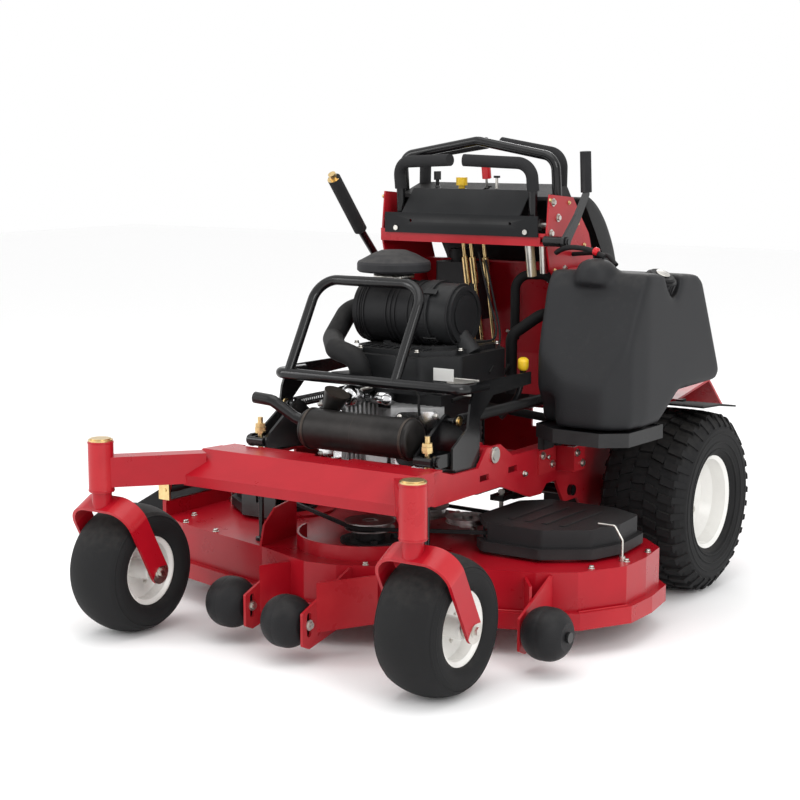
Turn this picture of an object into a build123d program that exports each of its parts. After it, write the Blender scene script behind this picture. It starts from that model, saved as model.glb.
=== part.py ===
from build123d import *
import math
import os

# ------------------------------------------------------------------ driving dimensions, mm
# Design frame: X to the operator's left, Y to the back, Z up. X = 0 is the machine's middle,
# Y = 0 the caster pivots, Z = 0 the ground. save() moves all of it so that the origin lies on
# the ground under the middle of the machine's box.
ORIGIN_X, ORIGIN_Y = -116.5, 918

CASTER_X = 467          # caster pivots from the middle
CASTER_TRAIL = 99       # wheel axle behind the pivot
CASTER_R, CASTER_W = 165, 164
CASTER_RIM_R = 82
DRIVE_Y, DRIVE_Z = 1288, 252
DRIVE_X = 496           # drive wheel's middle plane
DRIVE_R, DRIVE_W = 252, 257
DRIVE_RIM_R = 127
AXLE_R = 16
PIVOT_TUBE_R = 32
PIVOT_LOW, PIVOT_TOP = 380, 508

RAIL_IN, RAIL_OUT = 302, 310
ENGINE_PLATE_TOP = 382
ENGINE_Y = 720          # crankshaft

DECK_LOW, DECK_TOP = 68, 209
DECK_WALL = 4
SPINDLE_X, SPINDLE_Y_SIDE, SPINDLE_Y_MID = 431, 720, 500
BLADE_R = 218
BELT_LOW, BELT_HIGH = 256, 266
ROLLER_R, ROLLER_W = 64, 108
ROLLERS = ((-193, 168, 1), (30, 108, 1), (605, 364, -1))   # X, Y, side of the bracket

CRANK_Y, CRANK_Z = 605, 460     # deck lift bell crank's pivot
HANGER_X, HANGER_Y = 259, 375   # deck hanger rods
REAR_SHAFT_Y, REAR_SHAFT_Z = 1010, 300
REAR_HANGER_X, REAR_HANGER_Y = 200, 830

TOWER_X = 262           # inside of the tower's side plates
PLATFORM_HINGE_Y, PLATFORM_HINGE_Z = 1580, 190
PLATFORM_REAR = 1902
CHUTE_HINGE_X, CHUTE_HINGE_Z = -652, 285

LEVER_PIVOT_Z = 1020    # motion levers
BRAKE_PIVOT = (931, 981)
KEY_PLACE = (-143, 1040)
PTO_PLACE = (-62, 1040, 1108)
CHOKE_PLACE = (52, 1040, 1108)
ACCESSORY_X = 160       # fascia's accessory bolt holes
CAP_BASE = Vector(548, 1032, 862)
CAP_AXIS = Vector(0.42, -0.12, 0.9).normalized()

SLIP = 0.05             # radial clearance of a running fit
GAP = 0.4               # clearance between pieces that move past each other


# ------------------------------------------------------------------ shape helpers
def block(x, y, z):
    """Box between two X, two Y and two Z values."""
    middle = [(low + high) / 2 for low, high in (x, y, z)]
    size = [high - low for low, high in (x, y, z)]
    return Pos(*middle) * Box(*size)


def rod(start, end, radius):
    """Round bar from one point to another."""
    start, end = Vector(*start), Vector(*end)
    return Solid.make_cylinder(radius, (end - start).length, Plane(start, z_dir=end - start))


def rod_x(radius, x0, x1, y, z):
    return rod((x0, y, z), (x1, y, z), radius)


def rod_z(radius, x, y, z0, z1):
    return rod((x, y, z0), (x, y, z1), radius)


def tube_x(radius, bore, x0, x1, y, z):
    return rod_x(radius, x0, x1, y, z) - rod_x(bore, x0 - 1, x1 + 1, y, z)


def tube_z(radius, bore, x, y, z0, z1):
    return rod_z(radius, x, y, z0, z1) - rod_z(bore, x, y, z0 - 1, z1 + 1)


def prism(points, axis, low, high, corner=0):
    """Polygon pushed along an axis: X takes (y, z) points, Y (x, z) and Z (x, y)."""
    face = Polygon(*points, align=None)
    if corner:
        face = fillet(face.vertices(), corner)
    plane = {"X": Plane.YZ.offset(low), "Y": Plane.XZ.offset(-high), "Z": Plane.XY.offset(low)}[axis]
    return extrude(plane * face, high - low, dir=plane.z_dir)


def hull_plate(circles, low, high):
    """Plate across X whose outline wraps circles given as (y, z, radius)."""
    edges = [Pos(y, z) * Circle(radius).edge() for y, z, radius in circles]
    face = make_face(make_hull(edges))
    return extrude(Plane.YZ.offset(low) * face, high - low, dir=(1, 0, 0))


def pipe(points, radius, bend, bore=0):
    """Round tube along straight runs joined by arcs."""
    path = FilletPolyline(*points, radius=bend) if bend else Polyline(*points)
    section = Circle(radius) - Circle(bore) if bore else Circle(radius)
    return sweep(Plane(path @ 0, z_dir=path % 0) * section, path)


def spun(points, x=0, y=0, z=0):
    """Profile of (x, radius) points turned about an axis along X."""
    face = make_face(Plane.XZ * Polyline(*points, close=True))
    return Pos(x, y, z) * revolve(face, Axis.X)


def spun_z(points, x=0, y=0, z=0):
    """Profile of (radius, z) points turned about a vertical axis."""
    face = make_face(Plane.XZ * Polyline(*points, close=True))
    return Pos(x, y, z) * revolve(face, Axis.Z)


def mirrored(shape):
    return mirror(shape, Plane.YZ)


def both_sides(shape):
    return [shape, mirrored(shape)]


def nut_z(x, y, z, across=20, high=9, bore=0):
    body = Pos(x, y, z) * extrude(RegularPolygon(across / 2, 6, major_radius=False), high)
    return body - rod_z(bore, x, y, z - 1, z + high + 1) if bore else body


def bolt_x(x, y, z, side=1, head=11, high=7):
    """Hexagon bolt head with a washer that sits on an X face and points to side."""
    washer = rod_x(head + 2, x, x + side * 2.5, y, z)
    hexagon = extrude(Plane((x, y, z), z_dir=(side, 0, 0)) * RegularPolygon(head * 0.8, 6), high + 2.5)
    return washer + hexagon


# ------------------------------------------------------------------ frame
def front_frame():
    """Formed cross-member, both caster arms and both pivot tubes, welded as one."""
    bend = [(345, 464), (226, 469), (147, 413), (150, 386)]
    inner = [(155, 386), (153, 410), (228, 463.5), (345, 458.5)]
    member = prism(bend + inner, "X", -322, 322)
    slots = [block((x - 26, x + 26), (352 - 20, 400), (440, 480)) for x in (-HANGER_X, HANGER_X)]
    notch = [block((-60, 60), (318, 400), (440, 480))]
    member = member - slots - notch
    arms = []
    for side in (-1, 1):
        start = Vector(side * CASTER_X, 0, 431)
        end = Vector(side * 306, 205, 428)
        plane = Plane(start, x_dir=(0, 0, 1), z_dir=end - start)
        tube = extrude(plane * (Rectangle(76, 50) - Rectangle(66, 40)), (end - start).length)
        arms.append(tube)
    tubes = [rod_z(PIVOT_TUBE_R, side * CASTER_X, 0, PIVOT_LOW, PIVOT_TOP) for side in (-1, 1)]
    ends = [prism([(147, 413), (226, 469), (300, 466), (300, 386), (150, 386)], "X", x, x + 6)
            for x in (-328, 322)]
    weldment = member + arms + tubes + ends
    bores = [rod_z(27, side * CASTER_X, 0, PIVOT_LOW - 1, PIVOT_TOP + 1) for side in (-1, 1)]
    return weldment - bores


def rail(side):
    """One frame rail: outer plate with crank ears, top flange and the deep rear part."""
    outline = [(301, 386), (301, 460.3), (345, 458.4), (411, 440), (530, 437), (572, 482), (638, 482),
               (700, 444), (905, 440), (1060, 452), (1150, 520), (1500, 520), (1560, 470),
               (1560, 150), (1500, 150), (1420, 190), (1130, 190), (1050, 272), (975, 272),
               (930, 340), (880, 340), (850, 316), (790, 318), (640, 372), (330, 374)]
    plate = prism(outline, "X", RAIL_IN, RAIL_OUT)
    flange = block((258, RAIL_IN), (412, 1060), (430, 437))
    foot = block((258, RAIL_IN), (412, 1060), (374, ENGINE_PLATE_TOP))
    inner_ear = prism([(540, 433), (572, 482), (638, 482), (676, 433)], "X", 246, 254, 6)
    spacer = tube_x(22, 14, 254, RAIL_IN, CRANK_Y, CRANK_Z)
    doubler = block((RAIL_OUT, 314), (830, 923), (370, 436))
    solid = plate + flange + foot + inner_ear + spacer + doubler
    solid -= rod_x(14, 240, 320, CRANK_Y, CRANK_Z)
    for y in (560, 700):
        solid -= block((290, 320), (y - 22, y + 22), (400, 416))
    solid -= rod_x(42, 290, 320, DRIVE_Y, DRIVE_Z)
    solid -= rod_x(15 + SLIP, 290, 320, REAR_SHAFT_Y, REAR_SHAFT_Z)
    return solid if side > 0 else mirrored(solid)


def fender(side):
    """Plate behind the drive tyre's top with a rubber strip carried forward over the tread."""
    plate = prism([(1268, 526), (1488, 559), (1585, 473), (1590, 478), (1490, 566), (1267, 532)],
                  "X", RAIL_OUT, 500)
    leg = prism([(1268, 505), (1500, 505), (1488, 560), (1268, 528)], "X", RAIL_OUT, 318)
    strip = prism([(1180, 530), (1287, 523), (1400, 506), (1400, 511), (1288, 528), (1181, 535)],
                  "X", 500, 622)
    joint = block((480, 520), (1268, 1292), (522, 534))
    solid = plate + leg + strip + joint
    return solid if side > 0 else mirrored(solid)


def main_frame():
    """Both rails, engine plate, rear wall and shelf, steps, fenders and platform hinge lugs."""
    plate = block((-RAIL_IN, RAIL_IN), (470, 1060), (374, ENGINE_PLATE_TOP))
    plate -= rod_z(70, 0, ENGINE_Y, 360, 400)
    plate -= block((-120, 120), (900, 1020), (360, 400))
    back = block((-RAIL_IN, RAIL_IN), (1552, 1560), (150, 500))
    back -= block((-120, 120), (1540, 1570), (360, 440))
    shelf = block((-RAIL_IN, RAIL_IN), (1440, 1552), (440, 447))
    step = block((RAIL_OUT, 368), (925, 985), (370, 437)) - block((315, 363), (930, 980), (360, 450))
    hinge = [block((x - 6, x + 6), (1556, 1600), (165, 212)) for x in (-292, 292)]
    frame = rail(1) + rail(-1) + plate + back + shelf + both_sides(step) + fender(1) + fender(-1) + hinge
    return frame - rod_x(9 + SLIP, -330, 330, PLATFORM_HINGE_Y, PLATFORM_HINGE_Z)


# ------------------------------------------------------------------ casters
def caster_fork(side):
    """Arch of wide strap that leans over the wheel, with its stem, axle and spacers."""
    x = side * CASTER_X
    half = 100
    crown = 212
    leaning = Plane((x, CASTER_TRAIL, CASTER_R), x_dir=(1, 0, 0), z_dir=(0, -185, -CASTER_TRAIL))
    outer = Pos(0, (crown - 30) / 2) * Rectangle(2 * half, crown + 30)
    inner = Pos(0, (crown - 40) / 2) * Rectangle(2 * half - 16, crown + 24)
    outer = fillet(outer.vertices().group_by(Axis.Y)[-1], 62)
    inner = fillet(inner.vertices().group_by(Axis.Y)[-1], 54)
    arch = extrude(leaning * (outer - inner), 30, both=True)
    legs = leaning.location * Pos(0, crown / 2, 0) * Box(2 * half + 2, crown, 62)
    tips = rod_x(30, x - half - 1, x + half + 1, CASTER_TRAIL, CASTER_R)
    strap = arch & (legs + tips)
    above = leaning.location * Pos(0, crown + 90, 0) * Box(200, 190, 200)
    collar = rod_z(25, x, 0, 322, PIVOT_LOW - 0.5) & above
    stem = rod_z(16, x, 0, 362, PIVOT_TOP - 6)
    axle = rod_x(12.7, x - half - 2, x + half + 2, CASTER_TRAIL, CASTER_R)
    spacers = [rod_x(20, x0, x0 + 16.4, CASTER_TRAIL, CASTER_R) for x0 in (x - 92.5, x + 76.1)]
    heads = [bolt_x(x + s * (half - 0.5), CASTER_TRAIL, CASTER_R, s, 13, 9) for s in (-1, 1)]
    return strap + collar + stem + axle + spacers + heads


def caster_rim(side):
    """One-piece rim with a deep-dished web and a long hub."""
    half = [(0, 82), (60.5, 82), (60.5, 88), (67, 88), (67, 84), (60, 76), (30, 74), (10, 40), (10, 26),
            (71, 24), (75, 20), (75, 12.75), (0, 12.75)]
    wheel = spun(half) + mirrored(spun(half))
    return Pos(side * CASTER_X, CASTER_TRAIL, CASTER_R) * wheel


def caster_tyre(side):
    """Smooth round-shouldered tyre, open to the rim inside."""
    outer = Line((-60, 82), (60, 82)) + ThreePointArc((60, 82), (82, 118), (66, 150))
    outer += ThreePointArc((66, 150), (0, CASTER_R), (-66, 150))
    outer += ThreePointArc((-66, 150), (-82, 118), (-60, 82))
    body = revolve(make_face(Plane.XZ * outer), Axis.X)
    body -= spun([(-46, 81), (46, 81), (66, 116), (56, 140), (0, 153), (-56, 140), (-66, 116)])
    flange = [(60.5, 78), (60.5, 88.5), (90, 88.5), (90, 78)]
    body -= spun(flange) + mirrored(spun(flange))
    return Pos(side * CASTER_X, CASTER_TRAIL, CASTER_R) * body


# ------------------------------------------------------------------ drive wheels
def drive_rim(side):
    """Dished rim, hub on its axle shaft and four lug nuts."""
    barrel = [(-96, 126.5), (96, 126.5), (100, 136), (106, 136), (106, 131), (99, 119), (62, 114),
              (34, 96), (26, 62), (26, 34), (18, 34), (18, 64), (26, 100), (44, 118), (-88, 119),
              (-100, 131), (-100, 136), (-96, 136)]
    rim = spun(barrel)
    bolts = [(52 * math.cos(a), 52 * math.sin(a)) for a in (math.radians(45 + 90 * i) for i in range(4))]
    hub = rod_x(68, 8, 17.6, 0, 0) + rod_x(33.5, 8, 40, 0, 0) + rod_x(26, -70, 9, 0, 0)
    shaft = rod_x(AXLE_R, -255, 46, 0, 0)
    studs = [rod_x(6, 12, 42, y, z) + extrude(Plane((26.5, y, z), z_dir=(1, 0, 0)) *
             RegularPolygon(11, 6), 13) for y, z in bolts]
    wheel = rim + hub + shaft + studs
    wheel = Pos(DRIVE_X, DRIVE_Y, DRIVE_Z) * wheel
    return wheel if side > 0 else mirrored(wheel)


def drive_tyre(side):
    """Wide low-pressure tyre, open to the rim inside."""
    low, mid, top = (94, 127), (126, 180), (112, 226)
    outer = Line((-94, 127), (94, 127)) + ThreePointArc(low, (124, 148), mid)
    outer += ThreePointArc(mid, (DRIVE_W / 2, 205), top)
    outer += ThreePointArc(top, (104, 240), (86, 246))
    outer += ThreePointArc((86, 246), (0, DRIVE_R), (-86, 246))
    outer += ThreePointArc((-86, 246), (-104, 240), (-112, 226))
    outer += ThreePointArc((-112, 226), (-DRIVE_W / 2, 205), (-126, 180))
    outer += ThreePointArc((-126, 180), (-124, 148), (-94, 127))
    body = revolve(make_face(Plane.XZ * outer), Axis.X)
    body -= spun([(-76, 126), (76, 126), (108, 160), (110, 200), (84, 228), (-84, 228), (-110, 200),
                  (-108, 160)])
    flange = [(94.5, 120), (94.5, 136.5), (140, 136.5), (140, 120)]
    body -= spun(flange) + mirrored(spun(flange))
    return Pos(side * DRIVE_X, DRIVE_Y, DRIVE_Z) * body


def transaxles():
    """Both pump-and-motor housings, bolted inside the rails."""
    case = block((120, 240), (1205, 1380), (196, 320))
    case = fillet(case.edges().filter_by(Axis.X), 22)
    horn = rod_x(40, 238, 336, DRIVE_Y, DRIVE_Z)
    lugs = [block((238, RAIL_IN - GAP), (y - 14, y + 14), (206, 300)) for y in (1222, 1362)]
    pump = rod_z(52, 180, 1262, 318, 352) + rod_z(10, 180, 1262, 350, 372)
    pulley = rod_z(48, 180, 1262, 372, 378) + rod_z(40, 180, 1262, 378, 386) + rod_z(48, 180, 1262, 386, 392)
    arm = block((236, 244), (1290, 1380), (300, 312)) + rod_x(9, 236, 252, 1372, 306)
    unit = case + horn + lugs + pump + pulley + arm
    unit -= rod_x(AXLE_R + SLIP, 236, 340, DRIVE_Y, DRIVE_Z)
    return both_sides(unit)


# ------------------------------------------------------------------ cutting deck
DECK_OUTLINE = ((-660, 450), (-561, 399), (-215, 312), (-30, 248), (62, 262), (393, 432), (510, 473),
                (596, 533), (667, 659), (667, 770), (648, 886), (570, 962), (-560, 962), (-660, 880))


def grown(points, amount):
    return offset(Polygon(*points, align=None), amount, kind=Kind.INTERSECTION)


def spindles():
    return [(SPINDLE_X, SPINDLE_Y_SIDE), (0, SPINDLE_Y_MID), (-SPINDLE_X, SPINDLE_Y_SIDE)]


def roller_bracket(x, y, side):
    """Slotted plate beside a roller, stiffened by a gusset back to the deck's skirt."""
    face = x + side * (ROLLER_W / 2 + 6)
    low, high = sorted((face, face + side * 7))
    reach = 175 if y < 300 else 130
    plate = prism([(y - 26, 52), (y - 26, 132), (y + reach, 206), (y + reach, 74), (y, 40)],
                  "X", low, high, 4)
    edge = face + side * 7
    far = edge + side * 78
    gusset = prism([(edge, y + 30), (far, y + reach), (far - side * 9, y + reach), (edge, y + 42)],
                   "Z", 74, 196)
    slot = Plane((low - 1, y, 100), x_dir=(0, 0, 1), z_dir=(1, 0, 0)) * SlotCenterToCenter(44, 17)
    return plate + gusset - extrude(slot, 12)


def deck_shell():
    """Fabricated shell: top, skirt, lower band, mounting discs, upright webs, roller brackets."""
    shell = extrude(Plane.XY.offset(DECK_LOW) * grown(DECK_OUTLINE, -6), DECK_TOP - DECK_LOW)
    shell += extrude(Plane.XY.offset(DECK_LOW) * grown(DECK_OUTLINE, 12), 43)
    shell += [roller_bracket(*place) for place in ROLLERS]
    shell += block((-666, -654), (445, 880), (150, 250))
    shell -= extrude(Plane.XY.offset(DECK_LOW - 40) * grown(DECK_OUTLINE, -6 - DECK_WALL),
                     DECK_TOP - DECK_LOW + 36)
    shell -= block((-700, -640), (460, 862), (60, 190))
    shell += [rod_z(130, x, y, DECK_TOP - 1, DECK_TOP + 7) for x, y in spindles()]
    shell -= [rod_z(44, x, y, DECK_TOP - 30, DECK_TOP + 30) for x, y in spindles()]
    web = prism([(318, 205), (334, 262), (380, 300), (470, 312), (470, 205)], "X", -222, -216)
    ridge = tube_z(190, 184, 0, 500, 205, 246) - block((-300, 300), (470, 800), (200, 400))
    ears = [prism([(-666, 245), (-664, 300), (-640, 300), (-654, 245)], "Y", y - 5, y + 5)
            for y in (450, 875)]
    lugs = [block((x - 4, x + 4), (REAR_HANGER_Y - 22, REAR_HANGER_Y + 22), (205, 250))
            for x in (-REAR_HANGER_X - 14, -REAR_HANGER_X + 14, REAR_HANGER_X - 14, REAR_HANGER_X + 14)]
    shell = shell + web + ridge + ears + lugs
    shell -= rod((CHUTE_HINGE_X, 400, CHUTE_HINGE_Z), (CHUTE_HINGE_X, 900, CHUTE_HINGE_Z), 6 + SLIP)
    return shell


def belt_path():
    """Outline wrapped by the belt's middle line round the four pulleys."""
    circles = [Pos(x, y) * Circle(61).edge() for x, y in spindles()]
    circles.append(Pos(0, ENGINE_Y) * Circle(84).edge())
    return make_face(make_hull(circles))


def belt_covers():
    """Moulded stepped covers over the outer spindles; the right one ends at an upright plate."""
    base = [(228, 640), (300, 560), (470, 560), (580, 640), (612, 740), (600, 880), (500, 930),
            (300, 930), (228, 860)]
    cover = extrude(Plane.XY.offset(218) * fillet(Polygon(*base, align=None).vertices(), 24), 26)
    cover += extrude(Plane.XY.offset(244) * fillet(grown(base, -14).vertices(), 20), 46)
    cover -= extrude(Plane.XY.offset(217) * fillet(grown(base, -20).vertices(), 16), 69)
    cover -= block((200, 300), (600, 840), (210, 276))
    passage = offset(belt_path(), 14) - offset(belt_path(), -16)
    cover -= extrude(Plane.XY.offset(BELT_LOW - 8) * passage, 26)
    right = mirrored(cover) - block((-400, 0), (400, 1000), (200, 300))
    plate = block((-470, -352), (552, 557), (218, 282)) - block((-420, -396), (550, 560), (258, 290))
    return [cover, right + plate]


def spindle_housings():
    """Flanged spindle castings with four bolts each, on the deck's mounting discs."""
    parts = []
    for x, y in spindles():
        flange = rod_z(78, x, y, DECK_TOP + 7, DECK_TOP + 15)
        body = rod_z(40, x, y, DECK_TOP - 60, DECK_TOP + 40)
        bolts = [nut_z(x + 64 * math.cos(a), y + 64 * math.sin(a), DECK_TOP + 15, 18, 9)
                 for a in (math.radians(45 + 90 * i) for i in range(4))]
        housing = flange + body + bolts
        parts.append(housing - rod_z(12.5 + SLIP, x, y, 100, 300))
    return parts


def spindle(x, y):
    """Spindle shaft with its belt pulley."""
    shaft = rod_z(12.5, x, y, 88, 272)
    hub = rod_z(24, x, y, DECK_TOP + 41, 268)
    groove = [(20, BELT_LOW - 6), (66, BELT_LOW - 6), (66, BELT_LOW - 3), (55, BELT_LOW), (55, BELT_HIGH),
              (66, BELT_HIGH + 3), (66, BELT_HIGH + 6), (20, BELT_HIGH + 6)]
    return shaft + hub + spun_z(groove, x, y)


def blade(x, y):
    """Mower blade with raised trailing wings, bolt and washer below."""
    bar = block((x - BLADE_R + 2, x + BLADE_R - 2), (y - 28, y + 28), (80, 86))
    wing = prism([(18, 85), (28, 85), (34, 112), (28, 112)], "X", 110, BLADE_R - 12)
    wings = [Pos(x, y) * wing, Pos(x, y) * Rot(0, 0, 180) * wing]
    disc = rod_z(30, x, y, 85, 88)
    head = nut_z(x, y, 70, 30, 8) + rod_z(26, x, y, 77, 80.5)
    return (bar + wings + disc + head) & rod_z(BLADE_R, x, y, 60, 130)


def deck_idler():
    """Arm on its pivot post with the flat idler pulley."""
    arm = prism([(0, -14), (96, -20), (96, 20), (0, 14)], "Z", 240, 246, 6)
    boss = rod_z(18, 0, 0, 226, 246) - rod_z(10 + SLIP, 0, 0, 220, 250)
    wheel = rod_z(52, 84, 0, 256, 266) + rod_z(57, 84, 0, 254, 256.5) + rod_z(57, 84, 0, 266, 268.5)
    wheel = wheel - rod_z(38, 84, 0, 260, 270) + rod_z(14, 84, 0, 245, 272)
    pulley = arm - rod_z(10 + SLIP, 0, 0, 220, 250) + boss + wheel
    return Pos(150, 770) * Rot(0, 0, -70) * pulley


def deck_belt():
    """Belt round the three spindle pulleys and the engine's pulley."""
    band = offset(belt_path(), 3) - offset(belt_path(), -5)
    return extrude(Plane.XY.offset(BELT_LOW + 0.5) * band, 9)


def deck_hardware():
    """Hanger rods with nuts, idler post, roller bolts, hinge rod and cover latches."""
    parts = []
    for x in (-HANGER_X, HANGER_X):
        hanger = rod_z(7, x, HANGER_Y, DECK_TOP, 536) + nut_z(x, HANGER_Y, 500, 26, 10)
        hanger += rod_z(14, x, HANGER_Y, 495, 500.5) + rod_z(13, x, HANGER_Y, 440, 446)
        hanger += nut_z(x, HANGER_Y, 510.5, 24, 9) + nut_z(x, HANGER_Y, 432, 24, 8.5)
        parts.append(hanger + rod_z(16, x, HANGER_Y, DECK_TOP, DECK_TOP + 8))
    for x in (-REAR_HANGER_X, REAR_HANGER_X):
        eye = rod_x(8, x - 10 + GAP, x + 10 - GAP, REAR_HANGER_Y, 232)
        rear = eye + rod_z(6, x, REAR_HANGER_Y, 238, 319)
        parts.append(rear + nut_z(x, REAR_HANGER_Y, REAR_SHAFT_Z + 10, 18, 7))
    parts.append(rod_z(10, 150, 770, DECK_TOP, 252) + rod_z(16, 150, 770, 247, 252))
    for x, y, side in ROLLERS:
        face = x + side * (ROLLER_W / 2 + 6)
        shaft = rod_x(8, x - side * (ROLLER_W / 2 + 4), face + side * 16, y, 100)
        collar = rod_x(13, x - side * (ROLLER_W / 2 + 8), x - side * (ROLLER_W / 2 + 1), y, 100)
        parts.append(shaft + bolt_x(face + side * 7, y, 100, side, 11, 6) + collar)
    hinge = rod((CHUTE_HINGE_X, 436, CHUTE_HINGE_Z), (CHUTE_HINGE_X, 886, CHUTE_HINGE_Z), 6)
    parts.append(hinge + block((-674, -636), (438, 444.6), (258, 304)))
    for side in (-1, 1):
        latch = pipe([(side * 628, 700, 215), (side * 628, 700, 262), (side * 606, 700, 296),
                      (side * 560, 700, 296)], 3, 8)
        parts.append(latch + rod_z(8, side * 628, 700, DECK_TOP, 222))
    return parts


def discharge_chute():
    """Rubber deflector that hangs from the hinge rod over the deck's outlet."""
    x, z = CHUTE_HINGE_X, CHUTE_HINGE_Z
    top = [(x - 6, z + 12), (x + 8, z + 12), (x + 8, z + 6), (x, z + 2), (-895, 150), (-905, 96),
           (-912, 96), (-904, 156), (x - 12, z + 10)]
    flap = prism(top, "Y", 460, 864)
    cheeks = [prism([(x - 8, z), (-902, 150), (-908, 98), (-700, 98), (-682, 200)], "Y", y, y + 7)
              for y in (460, 857)]
    barrel = rod((x, 456, z), (x, 869, z), 11)
    chute = flap + cheeks + barrel
    return chute - rod((x, 430, z), (x, 890, z), 6 + SLIP)


def anti_scalp_roller(x, y, z=100):
    """Ball-shaped plastic roller turning on its bolt."""
    half = ROLLER_W / 2
    profile = Line((-half, 8 + SLIP), (half, 8 + SLIP)) + Line((half, 8 + SLIP), (half, 34))
    profile += ThreePointArc((half, 34), (half * 0.72, 53), (0, ROLLER_R))
    profile += ThreePointArc((0, ROLLER_R), (-half * 0.72, 53), (-half, 34))
    profile += Line((-half, 34), (-half, 8 + SLIP))
    return Pos(x, y, z) * revolve(make_face(Plane.XZ * profile), Axis.X)


# ------------------------------------------------------------------ deck lift
def front_lift_cranks():
    """Bell crank each side: two plates, hub, slotted trunnion round the hanger rod, spring lug."""
    inner = hull_plate([(CRANK_Y, CRANK_Z, 27), (HANGER_Y, 474, 17), (500, 556, 15)], 228, 236)
    outer = hull_plate([(HANGER_Y, 474, 17), (462, 472, 15)], 282, 290)
    bridge = block((228, 290), (440, 470), (462, 484))
    hub = rod_x(24, 214, 245, CRANK_Y, CRANK_Z)
    trunnion = block((235, 283), (HANGER_Y - 24, HANGER_Y + 24), (462, 486))
    trunnion = fillet(trunnion.edges().filter_by(Axis.X), 8)
    trunnion -= extrude(Plane((HANGER_X, HANGER_Y, 440)) * SlotOverall(38, 17, rotation=90), 60)
    pins = rod_x(13, 289, 297, HANGER_Y, 474) + rod_x(7, 230, 276, 500, 556) + rod_x(12, 270, 274, 500, 556)
    crank = inner + outer + bridge + hub + trunnion + pins
    return both_sides(crank - rod_x(14 + SLIP, 200, 250, CRANK_Y, CRANK_Z))


def rear_lift_shaft():
    """Cross shaft through the rails with a forked arm and hanger eye each side."""
    shaft = rod_x(15, -322, 322, REAR_SHAFT_Y, REAR_SHAFT_Z)
    circles = [(REAR_SHAFT_Y, REAR_SHAFT_Z, 22), (REAR_HANGER_Y + 34, REAR_SHAFT_Z, 12)]
    for x in (-REAR_HANGER_X, REAR_HANGER_X):
        shaft += hull_plate(circles, x - 20, x - 13) + hull_plate(circles, x + 13, x + 20)
        eye = block((x - 20, x + 20), (REAR_HANGER_Y - 26, REAR_HANGER_Y + 40),
                    (REAR_SHAFT_Z - 8, REAR_SHAFT_Z + 7))
        shaft += eye - extrude(Plane((x, REAR_HANGER_Y, 270)) * SlotOverall(36, 16, rotation=90), 60)
    return shaft


def lift_springs():
    """Envelope of the two extension springs that carry part of the deck's weight."""
    coil = rod((HANGER_X, 524, 556), (HANGER_X, 948, 556), 15)
    hooks = rod((HANGER_X, 512, 556), (HANGER_X, 526, 556), 4) + rod((HANGER_X, 946, 556),
                                                                    (HANGER_X, 968, 556), 4)
    return both_sides(coil + hooks)


def lift_lever():
    """Deck lift lever: bent bar with a padded grip and push button."""
    points = [(-334, 1120, 800), (-334, 999, 926), (-334, 925, 1001)]
    bar = pipe(points, 11, 40)
    grip = rod((-334, 933, 993), (-334, 806, 1141), 19)
    button = rod((-334, 806, 1141), (-334, 796, 1152.6), 11)
    pivot = rod_x(20, -347, -316, 1120, 800) - rod_x(10 + SLIP, -360, -300, 1120, 800)
    lever = bar + grip + button - rod_x(19, -360, -300, 1120, 800)
    return lever + pivot


# ------------------------------------------------------------------ engine
def engine_block():
    """Crankcase with two finned cylinders in a V, rocker covers and oil filter."""
    solid = block((-135, 135), (ENGINE_Y - 130, ENGINE_Y + 140), (ENGINE_PLATE_TOP, 600))
    solid = fillet(solid.edges().filter_by(Axis.Z), 40)
    for turn in (-34, 34):
        barrel = block((-54, 54), (-240, -90), (420, 560))
        fins = [block((-68, 68), (y, y + 5), (406, 574)) for y in range(-226, -130, 12)]
        cover = fillet(block((-58, 58), (-258, -236), (412, 568)).edges().filter_by(Axis.Y), 20)
        solid += Pos(0, ENGINE_Y) * Rot(0, 0, turn) * (barrel + fins + cover)
    solid += rod((0, ENGINE_Y - 125, 430), (0, ENGINE_Y - 190, 430), 34)
    return solid - rod_z(13.5, 0, ENGINE_Y, 370, 440)


def engine_pulley():
    """Crankshaft end with the blade clutch and its belt pulley."""
    shaft = rod_z(12.5, 0, ENGINE_Y, 244, 436)
    clutch = rod_z(60, 0, ENGINE_Y, 290, 345)
    groove = [(12, BELT_LOW - 8), (88, BELT_LOW - 8), (88, BELT_LOW - 4), (78, BELT_LOW), (78, BELT_HIGH),
              (88, BELT_HIGH + 4), (88, BELT_HIGH + 8), (12, BELT_HIGH + 8)]
    return shaft + clutch + spun_z(groove, 0, ENGINE_Y)


def blower_housing():
    """Fan shroud on top of the engine, with sloping front corners and a finned intake ring."""
    outline = [(-165, 640), (-90, 560), (110, 560), (185, 650), (185, 870), (120, 930), (-120, 930),
               (-165, 870)]
    body = extrude(Plane.XY.offset(600) * fillet(Polygon(*outline, align=None).vertices(), 18), 96)
    body -= extrude(Plane.XY.offset(599) * fillet(grown(outline, -4).vertices(), 12), 92)
    body += extrude(Plane.XY.offset(695) * fillet(grown(outline, -24).vertices(), 14), 14)
    ring = tube_z(118, 96, 20, 740, 709, 716)
    skirt = block((-150, 170), (575, 640), (556, 601)) - block((-140, 160), (585, 640), (550, 602))
    return body + ring + skirt


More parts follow.
